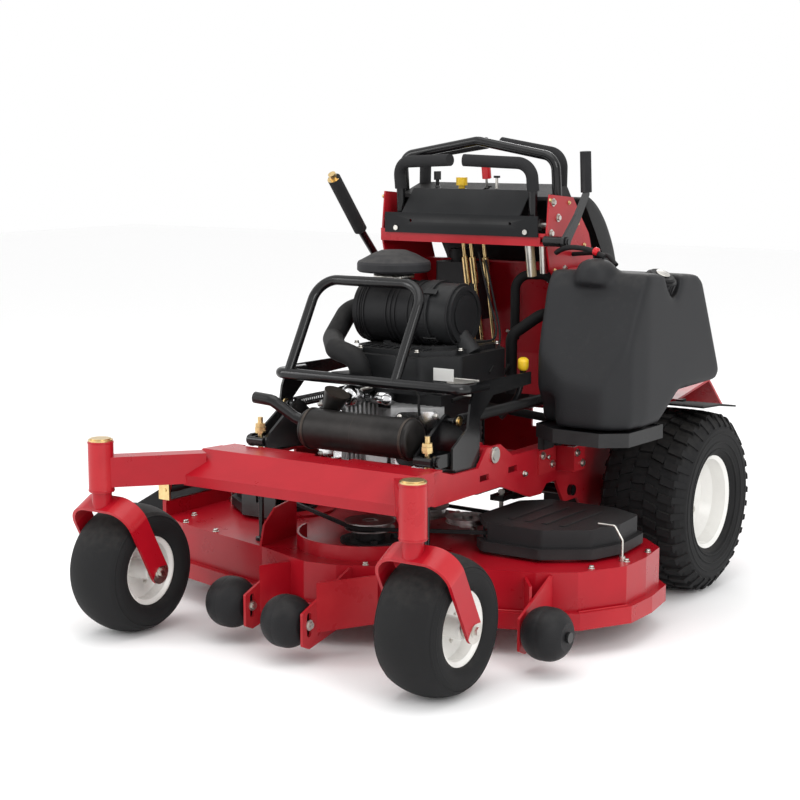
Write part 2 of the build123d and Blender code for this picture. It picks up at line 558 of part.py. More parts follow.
def air_cleaner_canister():
    """Ribbed cylinder across the engine with an end cap, outlet snout and dust valve."""
    y, z = 738, 793
    body = rod_x(84, -164, 60, y, z) + rod_x(88, 40, 72, y, z)
    ribs = [rod_x(86.5, x, x + 5, y, z) for x in (-146, -132, -60, -46, -32, 8, 22)]
    cap = rod_x(82, 72, 132, y, z) + rod_x(76, 132, 142, y, z)
    cap -= tube_x(64, 52, 138, 150, y, z)
    snout = rod((112, y, z - 50), (160, y, z - 104), 30)
    neck = rod_z(46, -86, y, z + 70, 896)
    outlet = rod_x(34, -184, -162, y, z)
    return body + ribs + cap + snout + neck + outlet


def precleaner_cap():
    """Mushroom-shaped pre-cleaner with its clamp band."""
    x, y = -86, 738
    bowl = spun_z([(0, 955), (34, 955), (60, 945), (84, 932), (96, 926), (99, 920), (99, 903),
                   (94, 898), (54, 894), (50, 890), (50, 880.5), (0, 880.5)], x, y)
    return bowl - rod_z(46.2, x, y, 870, 897) + tube_z(54, 49, x, y, 881, 890)


def muffler():
    """Barrel with rounded ends across the front of the engine, outlet, stack and inlet pipes."""
    y, z = 385, 521
    barrel = rod_x(51, -113, 219, y, z)
    barrel = fillet(barrel.edges().filter_by(GeomType.CIRCLE), 11)
    rims = [tube_x(53, 48, x, x + 4, y, z) for x in (-98, 200)]
    outlet = pipe([(-84, 385, 521), (-140, 366, 548), (-190, 340, 590), (-244, 336, 594)], 15, 24)
    outlet -= rod((-214, 338, 592), (-260, 335, 595), 12)
    stack = Solid.make_cone(20, 34, 62, Plane((-72, 424, 556), z_dir=(20, 0, 45)))
    inlets = [pipe([(side * 80 + 40, 410, 540), (side * 100 + 30, 452, 525), (side * 118 + 14, 500, 500)],
                   19, 20) for side in (-1, 1)]
    strap = block((-20, 90), (430, 486), (480, 486))
    return barrel + rims + outlet + stack + inlets + strap


def engine_guard():
    """Tube U with a hoop that leans back over the engine, on two side plates."""
    lower = pipe([(-287, 600, 634), (-287, 483, 638), (287, 483, 638), (287, 600, 634)], 14.5, 28)
    hoop = pipe([(-249, 483, 640), (-249, 622, 878), (89, 622, 878), (89, 483, 640)], 13.5, 62)
    side_plate = prism([(430, 446), (556, 446), (556, 560), (620, 610), (812, 616), (812, 648),
                        (540, 652), (512, 600), (500, 540), (430, 500)], "X", 292, 298)
    lug = block((258, 298), (440, 540), (437, 446))
    return lower + hoop + both_sides(side_plate) + both_sides(lug)


# ------------------------------------------------------------------ tower
def tower_frame():
    """Side plates with front flanges, lower channel, rear wall and foot brackets."""
    side = [(940, 978), (955, 1103), (1085, 1092), (1130, 1040), (1178, 990), (1212, 905), (1300, 640),
            (1300, 520), (1120, 520), (1010, 640), (985, 880), (960, 905)]
    plate = prism(side, "X", TOWER_X, TOWER_X + 5)
    foot = block((TOWER_X, RAIL_IN), (1150, 1296), (514, 520))
    foot += block((TOWER_X, RAIL_IN), (1290, 1296), (516, 600))
    wing = prism([(1000, 905), (1212, 905), (1300, 640), (1180, 640), (1090, 790)], "X", 296, 301)
    shelf = block((TOWER_X, 301), (1100, 1140), (800, 806))
    sides = both_sides(plate + foot + wing + shelf)
    channel = block((-TOWER_X - 2, TOWER_X + 2), (934, 940), (966, 1000))
    channel += block((-TOWER_X - 2, TOWER_X + 2), (936, 990), (966, 972))
    rear = prism([(1202, 520), (1208, 520), (1208, 642), (1170, 905), (1164, 905), (1202, 641)], "X",
                 -TOWER_X - 2, TOWER_X + 2)
    brace = block((-TOWER_X - 2, TOWER_X + 2), (1158, 1182), (899, 905))
    frame = sides[0] + sides[1] + channel + rear + brace
    frame -= rod_x(10, -320, -250, 1120, 800)
    frame -= rod_x(10, 250, 320, 931, 981)
    return frame


def tower_front_panel():
    """Black fascia, bent back and narrower above the middle, with two accessory bolt holes."""
    low = prism([(928, 990), (933, 990), (933, 1046), (928, 1046)], "X", -246, 246)
    high = prism([(928, 1045), (933, 1045), (996, 1112), (991, 1112)], "X", -190, 190)
    holes = [rod((x, 920, 1024), (x, 940, 1024), 4.25) for x in (-ACCESSORY_X, ACCESSORY_X)]
    screws = [rod((x, 924, 1003), (x, 930, 1003), 7) for x in (-208, 208)]
    return low + high - holes + screws


def control_console():
    """Moulded deck behind the fascia with clearance holes for the hand controls."""
    top = prism([(1000, 1095), (1100, 1126), (1130, 1090), (1130, 1030), (1120, 1030), (1120, 1086),
                 (1096, 1114), (1000, 1085)], "X", -232, 232)
    ends = [prism([(1000, 1095), (1100, 1126), (1130, 1090), (1130, 1030), (1000, 1030)], "X", x, x + 5)
            for x in (-237, 232)]
    console = top + ends
    for place, radius in ((KEY_PLACE, 5), (PTO_PLACE, 9), (CHOKE_PLACE, 4)):
        console -= rod_z(radius + GAP, place[0], place[1], 1060, 1140)
    return console - block((2, 18), (1028, 1076), (1070, 1140))


def l_bar(side, foot, elbow, inner, radius):
    """Bar that rises from its foot, turns inwards over an elbow and ends near the middle."""
    points = [(side * x, y, z) for x, y, z in (foot, elbow, inner)]
    return pipe(points, radius, 42)


def reference_bars():
    """Fixed bars on the tower: gabled loop and the padded pair behind it."""
    loop = pipe([(-247, 1036, 1060), (-246, 1020, 1200), (0, 1024, 1243), (246, 1020, 1200),
                 (247, 1036, 1060)], 13, 40)
    pair = [l_bar(side, (222, 1098, 1122), (222, 1100, 1206), (24, 1112, 1237), 16.5) for side in (-1, 1)]
    return [loop] + pair


def motion_lever(side):
    """Padded bar on a shank that drops beside the fascia to its pivot."""
    bar = l_bar(side, (213, 959, 1112), (213, 949, 1184), (22, 915, 1192), 16.5)
    shank = rod((side * 213, 959, 1114), (side * 213, 962, LEVER_PIVOT_Z), 12)
    hub = rod_x(18, *sorted((side * 198, side * 240)), 962, LEVER_PIVOT_Z)
    return bar + shank + hub - rod_x(8 + SLIP, -300, 300, 962, LEVER_PIVOT_Z)


def brake_lever():
    """Flat cranked bar with a round grip, on a pivot at its foot."""
    y, z = BRAKE_PIVOT
    bar = hull_plate([(y, z, 18), (y + 62, z + 60, 14)], 324, 332)
    bar += hull_plate([(y + 62, z + 60, 14), (1044, 1104, 12)], 324, 332)
    bar += block((324, 332), (1033, 1055), (1100, 1150))
    grip = rod((328, 1044, 1108), (328, 1036, 1216), 15)
    return bar + grip - rod_x(8 + SLIP, 300, 350, y, z)


def operator_pad():
    """Thigh cushion behind the tower on its backing board."""
    cushion = [(1146, 1082), (1172, 1096), (1230, 1070), (1282, 1026), (1330, 960), (1360, 890),
               (1388, 760), (1384, 664), (1340, 652), (1322, 760), (1292, 880), (1232, 984)]
    board = [(1131, 1078), (1145, 1082), (1231, 984), (1291, 880), (1321, 760), (1339, 652),
             (1326, 650), (1308, 756), (1279, 872), (1221, 974)]
    return [prism(cushion, "X", -268, 268), prism(board, "X", -240, 240)]


def throttle_lever():
    stalk = rod((10, 1062, 1090), (10, 1052, 1150), 3.5)
    return stalk + rod((10, 1056, 1140), (10, 1050, 1178), 13) + rod_x(8, 4, 16, 1062, 1088)


def plunger(x, y, z, stem, head, length, thick):
    """Round stem with a mushroom head, standing on the console."""
    body = rod_z(stem, x, y, z - 28, z + length) + rod_z(head, x, y, z + length - thick, z + length)
    return body


def ignition_key():
    """Key bow and blade with its barrel."""
    x, y = KEY_PLACE
    return block((x - 3, x + 3), (y - 14, y + 14), (1134, 1158)) + rod_z(5, x, y, 1104, 1136)


# ------------------------------------------------------------------ tank, reservoir and battery
def fuel_tank():
    """Moulded tank over the drive wheel: raked front, notched foot and a filler neck."""
    side = [(748, 622), (852, 876), (878, 914), (1180, 892), (1212, 874), (1340, 612), (1316, 590),
            (1075, 588), (958, 518), (752, 518), (752, 600)]
    plan = [(314, 860), (328, 786), (420, 756), (532, 750), (590, 800), (602, 880), (602, 1345),
            (314, 1345)]
    tank = prism(side, "X", 312, 606, 6) & prism(plan, "Z", 500, 960, 14)
    tank -= prism([(700, 400), (700, 606), (790, 600), (826, 560), (836, 400)], "X", 300, 388)
    tank += spun_z([(0, 880), (58, 880), (52, 925), (34, 944), (0, 948)], 452, 872) & block(
        (340, 602), (790, 960), (880, 950))
    recess = rod(CAP_BASE - CAP_AXIS * 8, CAP_BASE + CAP_AXIS * 80, 52)
    neck = rod(CAP_BASE - CAP_AXIS * 30, CAP_BASE + CAP_AXIS * 14, 28)
    return tank - recess + neck


def fuel_cap():
    """Ribbed cap with a stepped top."""
    cap = rod(CAP_BASE + CAP_AXIS * 0.5, CAP_BASE + CAP_AXIS * 34, 41)
    cap += rod(CAP_BASE + CAP_AXIS * 33, CAP_BASE + CAP_AXIS * 40, 34)
    for index in range(12):
        turn = Rot(0, 0, 30 * index)
        rib = Plane(CAP_BASE, z_dir=CAP_AXIS).location * turn * Pos(41, 0, 16) * Box(5, 7, 26)
        cap += rib
    return cap - rod(CAP_BASE - CAP_AXIS * 5, CAP_BASE + CAP_AXIS * 15, 28 + GAP)


def tank_tray():
    """Sheet tray with a faceted lip that carries the tank, on two legs from the rail."""
    plan = [(326, 800), (404, 746), (536, 741), (594, 787), (602, 960), (326, 960)]
    floor = prism(plan, "Z", 508, 512)
    lip = extrude(Plane.XY.offset(480) * (grown(plan, 4) - Polygon(*plan, align=None)), 36)
    lip += extrude(Plane.XY.offset(504) * Polygon(*plan, align=None), 8)
    legs = [block((RAIL_OUT, 330), (y, y + 50), (440, 509)) for y in (830, 905)]
    return floor + lip + legs


def oil_reservoir():
    """Hydraulic oil reservoir with its screw cap."""
    bottle = fillet(block((-172, -28), (1070, 1150), (740, 902)).edges().filter_by(Axis.Z), 14)
    return bottle + rod_z(24, -110, 1108, 900, 914) + rod_z(31, -110, 1108, 912, 938)


def battery():
    case = block((-205, -25), (1368, 1498), (447, 598))
    return case + block((-209, -21), (1364, 1502), (590, 606)) + [
        rod_z(9, x, 1390, 606, 622) for x in (-180, -50)]


# ------------------------------------------------------------------ hardware and hoses
def chassis_hardware():
    """Caster bushings and dust caps, crank pins, tower bolts, control rods and dampers."""
    parts = []
    for x in (-CASTER_X, CASTER_X):
        for low in (PIVOT_LOW, PIVOT_TOP - 25):
            parts.append(tube_z(27, 16 + SLIP, x, 0, low, low + 25))
        parts.append(rod_z(31, x, 0, PIVOT_TOP, PIVOT_TOP + 4) + rod_z(26, x, 0, PIVOT_TOP + 4,
                                                                      PIVOT_TOP + 7))
    pin = rod_x(14, 205, 318, CRANK_Y, CRANK_Z) + rod_x(21, RAIL_OUT, 316, CRANK_Y, CRANK_Z)
    pin += rod_x(20, 204, 213.4, CRANK_Y, CRANK_Z)
    parts += both_sides(pin)
    for y, z in ((972, 1082), (962, 1000), (1000, 1040), (1040, 900)):
        parts += both_sides(bolt_x(TOWER_X + 5, y, z, 1, 9, 5))
    for y, z in ((940, 420), (970, 388)):
        parts += both_sides(bolt_x(368, y, z, 1, 9, 5))
    for y, z in ((850, 420), (902, 390)):
        parts += both_sides(bolt_x(314, y, z, 1, 9, 5))
    for y in (1230, 1360):
        parts += both_sides(bolt_x(RAIL_OUT, y, 290, 1, 10, 6))
    for x, lean in ((-22, 10), (2, 14), (44, 8)):
        top, bottom = Vector(x, 985, 966), Vector(x + lean, 1060, 560)
        parts.append(rod(top, bottom, 5) + rod(top + (bottom - top) * 0.1, top + (bottom - top) * 0.28, 9))
    parts.append(rod((186, 990, 966), (190, 1000, 880), 13))
    parts.append(rod((228, 990, 966), (228, 998, 890), 11))
    for side in (-1, 1):
        parts.append(rod_x(8, *sorted((side * 190, side * TOWER_X)), 962, LEVER_PIVOT_Z))
        parts.append(rod((side * 150, 1172, 860), (side * 150, 1292, 840), 14))
    parts.append(rod_x(8, TOWER_X + 5, 340, *BRAKE_PIVOT) + rod_x(13, 333, 338, *BRAKE_PIVOT)
                 + rod_x(14, TOWER_X + 5, 322, *BRAKE_PIVOT))
    parts.append(rod_x(10, -352, -301, 1120, 800) + rod_x(15, -352, -348, 1120, 800))
    return parts


def hoses():
    """Intake hose, hydraulic hoses, fuel line and harness conduit."""
    intake = pipe([(-182, 738, 793), (-230, 738, 793), (-218, 640, 718), (-120, 520, 708),
                   (-46, 512, 690), (-46, 540, 604)], 28, 32)
    suction = pipe([(-60, 1120, 740), (-60, 1120, 490), (150, 1180, 460), (180, 1345, 450),
                    (180, 1345, 320)], 12, 40)
    pressure = pipe([(-140, 1120, 740), (-140, 1120, 490), (-180, 1345, 450), (-180, 1345, 320)], 12, 40)
    fuel = pipe([(268, 1085, 938), (330, 1080, 944), (420, 1000, 944), (452, 985, 922)], 6, 30)
    arch = pipe([(120, 1030, 700), (120, 1030, 880), (232, 1060, 880), (232, 1060, 640)], 13, 44)
    conduit = pipe([(150, 960, 560), (150, 960, 720), (220, 1010, 780), (236, 1100, 760), (236, 1120, 560)],
                   16, 40)
    return [intake, suction, pressure, fuel, arch, conduit]


def platform():
    """Operator platform: tray with side lips, ribbed mat and hinge barrels."""
    tray = block((-282, 282), (1598, PLATFORM_REAR), (160, 204))
    tray -= block((-276, 276), (1604, PLATFORM_REAR - 6), (190, 220))
    tray -= block((-276, 276), (1604, PLATFORM_REAR - 6), (150, 184))
    tray += [block((x - 5, x + 5), (PLATFORM_HINGE_Y, 1600), (176, 200)) for x in (-270, 270)]
    barrel = rod_x(15, -279, 279, PLATFORM_HINGE_Y, PLATFORM_HINGE_Z)
    pin = rod_x(9, -314, 314, PLATFORM_HINGE_Y, PLATFORM_HINGE_Z)
    mat = block((-270, 270), (1612, PLATFORM_REAR - 12), (190, 202))
    return [tray + barrel + pin, mat]


# ------------------------------------------------------------------ the machine
def save(name, shape):
    solids = ShapeList(shape).solids() if isinstance(shape, list) else shape.solids()
    moved = Compound([Pos(-ORIGIN_X, -ORIGIN_Y, 0) * solid for solid in solids])
    export_step(moved, f"parts/{name}.step")


def seat(nodes, name, *neighbours):
    """Trim a piece where it meets the neighbours it is fixed to, so that they touch and stay apart."""
    pieces = nodes[name] if isinstance(nodes[name], list) else [nodes[name]]
    for neighbour in neighbours:
        other = nodes[neighbour]
        others = other if isinstance(other, list) else [other]
        pieces = [piece - others for piece in pieces]
    nodes[name] = pieces


def machine():
    nodes = {
        "front_frame": front_frame(), "main_frame": main_frame(), "transaxles": transaxles(),
        "engine_block": engine_block(), "engine_pulley": engine_pulley(),
        "blower_housing": blower_housing(), "air_cleaner_canister": air_cleaner_canister(),
        "precleaner_cap": precleaner_cap(), "muffler": muffler(), "engine_guard": engine_guard(),
        "tower_frame": tower_frame(), "tower_front_panel": tower_front_panel(),
        "control_console": control_console(), "reference_bars": reference_bars(),
        "operator_pad": operator_pad(), "fuel_tank": fuel_tank(), "fuel_cap": fuel_cap(),
        "tank_tray": tank_tray(), "oil_reservoir": oil_reservoir(), "battery": battery(),
        "chassis_hardware": chassis_hardware(), "hoses": hoses(), "platform": platform(),
        "deck_shell": deck_shell(), "belt_covers": belt_covers(),
        "spindle_housings": spindle_housings(), "deck_idler": deck_idler(), "deck_belt": deck_belt(),
        "deck_hardware": deck_hardware(), "discharge_chute": discharge_chute(),
        "front_lift_cranks": front_lift_cranks(), "rear_lift_shaft": rear_lift_shaft(),
        "lift_springs": lift_springs(), "lift_lever": lift_lever(), "brake_lever": brake_lever(),
        "throttle_lever": throttle_lever(), "ignition_key": ignition_key(),
        "pto_knob": plunger(*PTO_PLACE, 9, 16, 34, 22), "choke_knob": plunger(*CHOKE_PLACE, 4, 9, 40, 6),
    }
    for side, word in ((1, "left"), (-1, "right")):
        nodes[f"caster_fork_{word}"] = caster_fork(side)
        nodes[f"caster_rim_{word}"] = caster_rim(side)
        nodes[f"caster_tyre_{word}"] = caster_tyre(side)
        nodes[f"drive_rim_{word}"] = drive_rim(side)
        nodes[f"drive_tyre_{word}"] = drive_tyre(side)
        nodes[f"motion_lever_{word}"] = motion_lever(side)
    for (x, y), word in zip(spindles(), ("left", "middle", "right")):
        nodes[f"spindle_{word}"] = spindle(x, y)
        nodes[f"blade_{word}"] = blade(x, y)
    for (x, y, _), word in zip(ROLLERS, ("right", "middle", "left")):
        nodes[f"anti_scalp_roller_{word}"] = anti_scalp_roller(x, y)
    seat(nodes, "blower_housing", "engine_block")
    seat(nodes, "air_cleaner_canister", "blower_housing")
    seat(nodes, "muffler", "engine_block")
    seat(nodes, "reference_bars", "control_console", "tower_frame")
    seat(nodes, "hoses", "air_cleaner_canister", "blower_housing", "engine_block", "fuel_tank")
    seat(nodes, "chassis_hardware", "operator_pad", "tower_frame")
    seat(nodes, "deck_hardware", "deck_shell")
    return nodes


if __name__ == "__main__":
    os.makedirs("parts", exist_ok=True)
    for node, shape in machine().items():
        save(node, shape)
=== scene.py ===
import bpy
import bmesh
import math
from mathutils import Matrix, Vector


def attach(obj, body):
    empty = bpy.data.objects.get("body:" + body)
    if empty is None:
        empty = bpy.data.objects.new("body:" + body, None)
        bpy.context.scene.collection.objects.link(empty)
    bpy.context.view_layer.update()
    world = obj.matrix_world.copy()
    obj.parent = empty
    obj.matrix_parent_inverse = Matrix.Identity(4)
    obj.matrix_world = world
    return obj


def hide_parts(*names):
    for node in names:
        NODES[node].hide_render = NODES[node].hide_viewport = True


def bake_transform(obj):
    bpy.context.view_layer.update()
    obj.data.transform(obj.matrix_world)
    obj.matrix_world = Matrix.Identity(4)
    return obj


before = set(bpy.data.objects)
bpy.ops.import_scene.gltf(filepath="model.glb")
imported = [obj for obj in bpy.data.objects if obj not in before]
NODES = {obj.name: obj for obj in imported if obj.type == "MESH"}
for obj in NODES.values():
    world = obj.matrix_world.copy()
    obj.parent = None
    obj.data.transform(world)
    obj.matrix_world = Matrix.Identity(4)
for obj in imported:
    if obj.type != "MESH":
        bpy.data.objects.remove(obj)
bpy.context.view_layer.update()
scene = bpy.context.scene

# ------------------------------------------------------------------ places of parts, design millimetres
ORIGIN_X, ORIGIN_Y = -116.5, 918
SIDES = (("left", 1), ("right", -1))
X_AXIS, Z_AXIS = (1, 0, 0), (0, 0, 1)
CASTER_X, CASTER_Y, CASTER_Z = 467, 99, 165
DRIVE_X, DRIVE_Y, DRIVE_Z = 496, 1288, 252
DRIVE_R = 252
ENGINE_Y = 720
CANISTER_Y, CANISTER_Z, CANISTER_R = 738, 793, 84
PRECLEANER_X, PRECLEANER_Z = -86, 900
MUFFLER_Y, MUFFLER_Z, MUFFLER_R = 385, 521, 51
SPRING_X, SPRING_Z = 259, 556
CRANK_Y, CRANK_Z = 605, 460
CONSOLE_Y, CONSOLE_Z = 1040, 1107.5


def at(x, y, z):
    """Design coordinates of the CAD source, in millimetres, to the row frame in metres."""
    return Vector(((x - ORIGIN_X) / 1000, (y - ORIGIN_Y) / 1000, z / 1000))


# ------------------------------------------------------------------ materials
DUST_COLOUR = (0.32, 0.29, 0.25, 1)


def add(tree, kind, **values):
    """Adds a shader node and sets its sockets by name."""
    made = tree.nodes.new("ShaderNode" + kind)
    for name, value in values.items():
        made.inputs[name].default_value = value
    return made


def laid_over(tree, amount, under, over):
    """The colour over, laid on the socket under as far as the socket amount says."""
    mix = tree.nodes.new("ShaderNodeMix")
    mix.data_type = "RGBA"
    tree.links.new(amount, mix.inputs["Factor"])
    tree.links.new(under, mix.inputs["A"])
    mix.inputs["B"].default_value = over
    return mix.outputs["Result"]


def patchy_colour(tree, place, colour, tint, patch):
    """Large noise and the colour that it varies."""
    patches = add(tree, "TexNoise", Scale=patch, Detail=6, Roughness=0.62)
    tree.links.new(place.outputs["Object"], patches.inputs["Vector"])
    ramp = add(tree, "ValToRGB")
    dark, light = ramp.color_ramp.elements
    dark.position = 0.3
    light.position = 0.7
    dark.color = [c * (1 - tint) for c in colour] + [1]
    light.color = [min(1, c * (1 + tint)) for c in colour] + [1]
    tree.links.new(patches.outputs["Fac"], ramp.inputs["Fac"])
    return patches.outputs["Fac"], ramp.outputs["Color"]


def worn_edges(tree, geometry, patches, under, worn):
    """Rubbed colour on the convex edges, broken up by the patches."""
    edge = add(tree, "ValToRGB")
    edge.color_ramp.elements[0].position = 0.54
    edge.color_ramp.elements[1].position = 0.62
    tree.links.new(geometry.outputs["Pointiness"], edge.inputs["Fac"])
    strength = add(tree, "Math")
    strength.operation = "MULTIPLY"
    tree.links.new(edge.outputs["Color"], strength.inputs[0])
    tree.links.new(patches, strength.inputs[1])
    return laid_over(tree, strength.outputs[0], under, list(worn) + [1])


def dusty_tops(tree, place, geometry, under, dust):
    """A speckled film of dust on faces that look up."""
    up = add(tree, "SeparateXYZ")
    tree.links.new(geometry.outputs["Normal"], up.inputs[0])
    speck = add(tree, "TexNoise", Scale=55, Detail=8)
    tree.links.new(place.outputs["Object"], speck.inputs["Vector"])
    amount = add(tree, "Math")
    amount.operation = "MULTIPLY"
    tree.links.new(up.outputs["Z"], amount.inputs[0])
    tree.links.new(speck.outputs["Fac"], amount.inputs[1])
    limited = add(tree, "MapRange", **{"From Min": 0.2, "From Max": 0.8, "To Max": dust})
    tree.links.new(amount.outputs[0], limited.inputs["Value"])
    return laid_over(tree, limited.outputs["Result"], under, DUST_COLOUR)


def material(name, colour, rough, metal=0.0, grain=(900, 0.04), tint=0.12, patch=9, worn=None, dust=0.0,
             cells=False, gloss=0.22, coat=0.0):
    """Principled finish with patchy colour, fine surface grain, edge wear and dust on top faces.

    grain is the scale and the strength of the fine bump, tint the share the colour varies by, patch the
    scale of its patches, and gloss the specular level of a finish that isn't metal.
    """
    m = bpy.data.materials.new(name)
    m.use_nodes = True
    tree = m.node_tree
    shader = tree.nodes["Principled BSDF"]
    shader.inputs["Metallic"].default_value = metal
    shader.inputs["Coat Weight"].default_value = coat
    shader.inputs["Coat Roughness"].default_value = 0.18
    shader.inputs["Specular IOR Level"].default_value = 0.5 if metal else gloss
    place = add(tree, "TexCoord")
    geometry = add(tree, "NewGeometry")
    patches, colour_out = patchy_colour(tree, place, colour, tint, patch)
    if worn:
        colour_out = worn_edges(tree, geometry, patches, colour_out, worn)
    if dust:
        colour_out = dusty_tops(tree, place, geometry, colour_out, dust)
    tree.links.new(colour_out, shader.inputs["Base Color"])
    spread = add(tree, "MapRange", **{"To Min": max(0.03, rough - 0.1), "To Max": min(1.0, rough + 0.1)})
    tree.links.new(patches, spread.inputs["Value"])
    tree.links.new(spread.outputs["Result"], shader.inputs["Roughness"])
    fine = add(tree, "TexVoronoi" if cells else "TexNoise", Scale=grain[0])
    tree.links.new(place.outputs["Object"], fine.inputs["Vector"])
    bump = add(tree, "Bump", Strength=min(1.0, grain[1] * 4), Distance=0.0006)
    tree.links.new(fine.outputs["Distance" if cells else "Fac"], bump.inputs["Height"])
    tree.links.new(bump.outputs["Normal"], shader.inputs["Normal"])
    return m


RED = material("red_paint", (0.36, 0.004, 0.012), 0.30, grain=(700, 0.02), tint=0.08,
               worn=(0.48, 0.03, 0.035), gloss=0.3)
BLACK = material("black_paint", (0.004, 0.004, 0.0045), 0.22, grain=(700, 0.02), worn=(0.03, 0.03, 0.03),
                 gloss=0.4)
SATIN = material("satin_black_plate", (0.006, 0.0065, 0.0075), 0.5, grain=(1400, 0.08),
                 worn=(0.05, 0.05, 0.05))
MOULDED = material("black_moulding", (0.01, 0.01, 0.011), 0.52, grain=(1600, 0.12), dust=0.05)
CAP = material("mottled_cap", (0.022, 0.022, 0.024), 0.62, grain=(700, 0.14), tint=0.3, patch=14, dust=0.12)
SHROUD = material("shroud_plastic", (0.015, 0.0155, 0.0165), 0.42, grain=(1500, 0.10), dust=0.05)
TANK = material("tank_plastic", (0.016, 0.0165, 0.018), 0.55, grain=(620, 0.16), tint=0.16, patch=5,
                dust=0.08)
COVER = material("grey_cover", (0.013, 0.0125, 0.0135), 0.5, grain=(1300, 0.12), worn=(0.04, 0.04, 0.04),
                 dust=0.02)
FOAM = material("grip_foam", (0.019, 0.019, 0.02), 0.82, grain=(1100, 0.22), tint=0.2)
RUBBER = material("rubber", (0.008, 0.008, 0.0085), 0.66, grain=(900, 0.10), dust=0.05)
TYRE = material("tyre_rubber", (0.0095, 0.0095, 0.01), 0.72, grain=(420, 0.14), tint=0.22, patch=12,
                dust=0.08)
WHITE = material("white_rim_paint", (0.78, 0.77, 0.74), 0.28, grain=(500, 0.02), tint=0.05,
                 worn=(0.55, 0.52, 0.48), coat=0.3)
ZINC = material("zinc_plate", (0.60, 0.58, 0.54), 0.30, metal=1.0, grain=(800, 0.05), tint=0.16, patch=30)
GOLD = material("yellow_zinc", (0.68, 0.50, 0.24), 0.30, metal=1.0, grain=(800, 0.05), tint=0.24, patch=34)
STEEL = material("bare_steel", (0.42, 0.41, 0.40), 0.36, metal=1.0, grain=(600, 0.08), tint=0.2, patch=18)
ALLOY = material("cast_alloy", (0.50, 0.50, 0.50), 0.48, metal=0.9, grain=(520, 0.22), tint=0.2, patch=16)
DARKCAST = material("dark_casting", (0.016, 0.016, 0.017), 0.5, metal=0.4, grain=(520, 0.2), tint=0.25,
                    patch=16)
HEATED = material("heated_steel", (0.022, 0.02, 0.019), 0.42, metal=0.7, grain=(500, 0.10), tint=0.5,
                  patch=12, worn=(0.16, 0.12, 0.09))
CHROME = material("bright_cover", (0.74, 0.74, 0.75), 0.14, metal=1.0, grain=(300, 0.02), tint=0.06)
YELLOW = material("yellow_knob", (0.78, 0.50, 0.02), 0.35, coat=0.3)
CHERRY = material("red_knob", (0.5, 0.006, 0.012), 0.30, grain=(900, 0.03), coat=0.4)
SPACER = material("red_spacer", (0.50, 0.02, 0.05), 0.34, grain=(700, 0.03), coat=0.3)
TAN = material("tan_sleeve", (0.42, 0.34, 0.20), 0.45, grain=(900, 0.06))
VINYL = material("pad_vinyl", (0.009, 0.009, 0.0095), 0.50, grain=(520, 0.20), tint=0.16, dust=0.04,
                 cells=True)
MAT = material("platform_mat", (0.01, 0.01, 0.01), 0.8, grain=(420, 0.24), tint=0.2, dust=0.12)
PALE = material("blank_plate", (0.62, 0.62, 0.60), 0.4, grain=(700, 0.02), tint=0.04)


# ------------------------------------------------------------------ finishes of the CAD nodes
def paint(node, *finishes, rule=None):
    """Gives a CAD node its finishes; rule picks one for a face from its centre, in design millimetres."""
    data = NODES[node].data
    data.materials.clear()
    for finish in finishes:
        data.materials.append(finish)
    for face in data.polygons:
        index = 0
        if rule:
            c = face.center
            index = int(rule(c.x * 1000 + ORIGIN_X, c.y * 1000 + ORIGIN_Y, c.z * 1000))
        face.material_index = index


def fork_axle_end(x, y, z):
    """Axle bolt and bushings of a caster, but not its painted fork."""
    off = abs(abs(x) - CASTER_X)
    return math.hypot(y - CASTER_Y, z - CASTER_Z) < 25 and (off > 99.6 or off < 92)


def rim_part(x, y, z):
    """Black hub, bright wheel nuts or the painted disc."""
    radius = math.hypot(y - DRIVE_Y, z - DRIVE_Z)
    if radius < 36 or (abs(x) < 480 and radius < 60):
        return 2
    return 40 < radius < 66 and abs(x) > DRIVE_X + 26.2


def engine_part(x, y, z):
    """Bright rocker covers, finned alloy cylinders or the dark crankcase."""
    if y < 530 and 405 < z < 570 and math.hypot(x, y - ENGINE_Y) > 236 and abs(x) > 60:
        return 2
    return y < 600 and z > 400


def platform_part(x, y, z):
    """Rubber mat, zinc pivots or the painted plate."""
    if z > 189 and 1606 < y < 1892 and abs(x) < 271:
        return 1
    return 2 if abs(x) > 284 else 0


def deck_fitting(x, y, z):
    """Yellow chain bolts and pins, black front brackets, or zinc for the rest."""
    in_front = 330 < y < 420
    if (in_front and z > 425) or (x < -630 and y < 446):
        return 1
    return 2 if in_front else 0


def crank_pin(x, y, z):
    """Pin that holds the spring's hook."""
    return abs(x) > 268 and math.hypot(y - 500, z - SPRING_Z) < 14


def lift_lever_part(x, y, z):
    """Plated foot, foam grips or the painted bar."""
    if y < 805:
        return 2
    return (abs(x + 334) > 11.3 and y < 940) or y < 925


def brake_grip(x, y, z):
    """Foam sleeve round the top of the brake lever."""
    return z > 1107 and (x < 323.5 or x > 332.5 or z > 1152)


def chassis_fitting(x, y, z):
    """Tan sleeve, yellow pivots and springs, black clamp, or zinc for the rest."""
    if 170 < x < 205 and 985 < y < 1015 and 870 < z < 970:
        return 3
    if abs(abs(x) - CASTER_X) < 33 and abs(y) < 34:
        return 4
    if x > 270 and abs(y - 931) < 24 and abs(z - 981) < 24:
        return 2
    return 4 if -30 < x < 64 and 980 < y < 1070 and 550 < z < 967 else 0


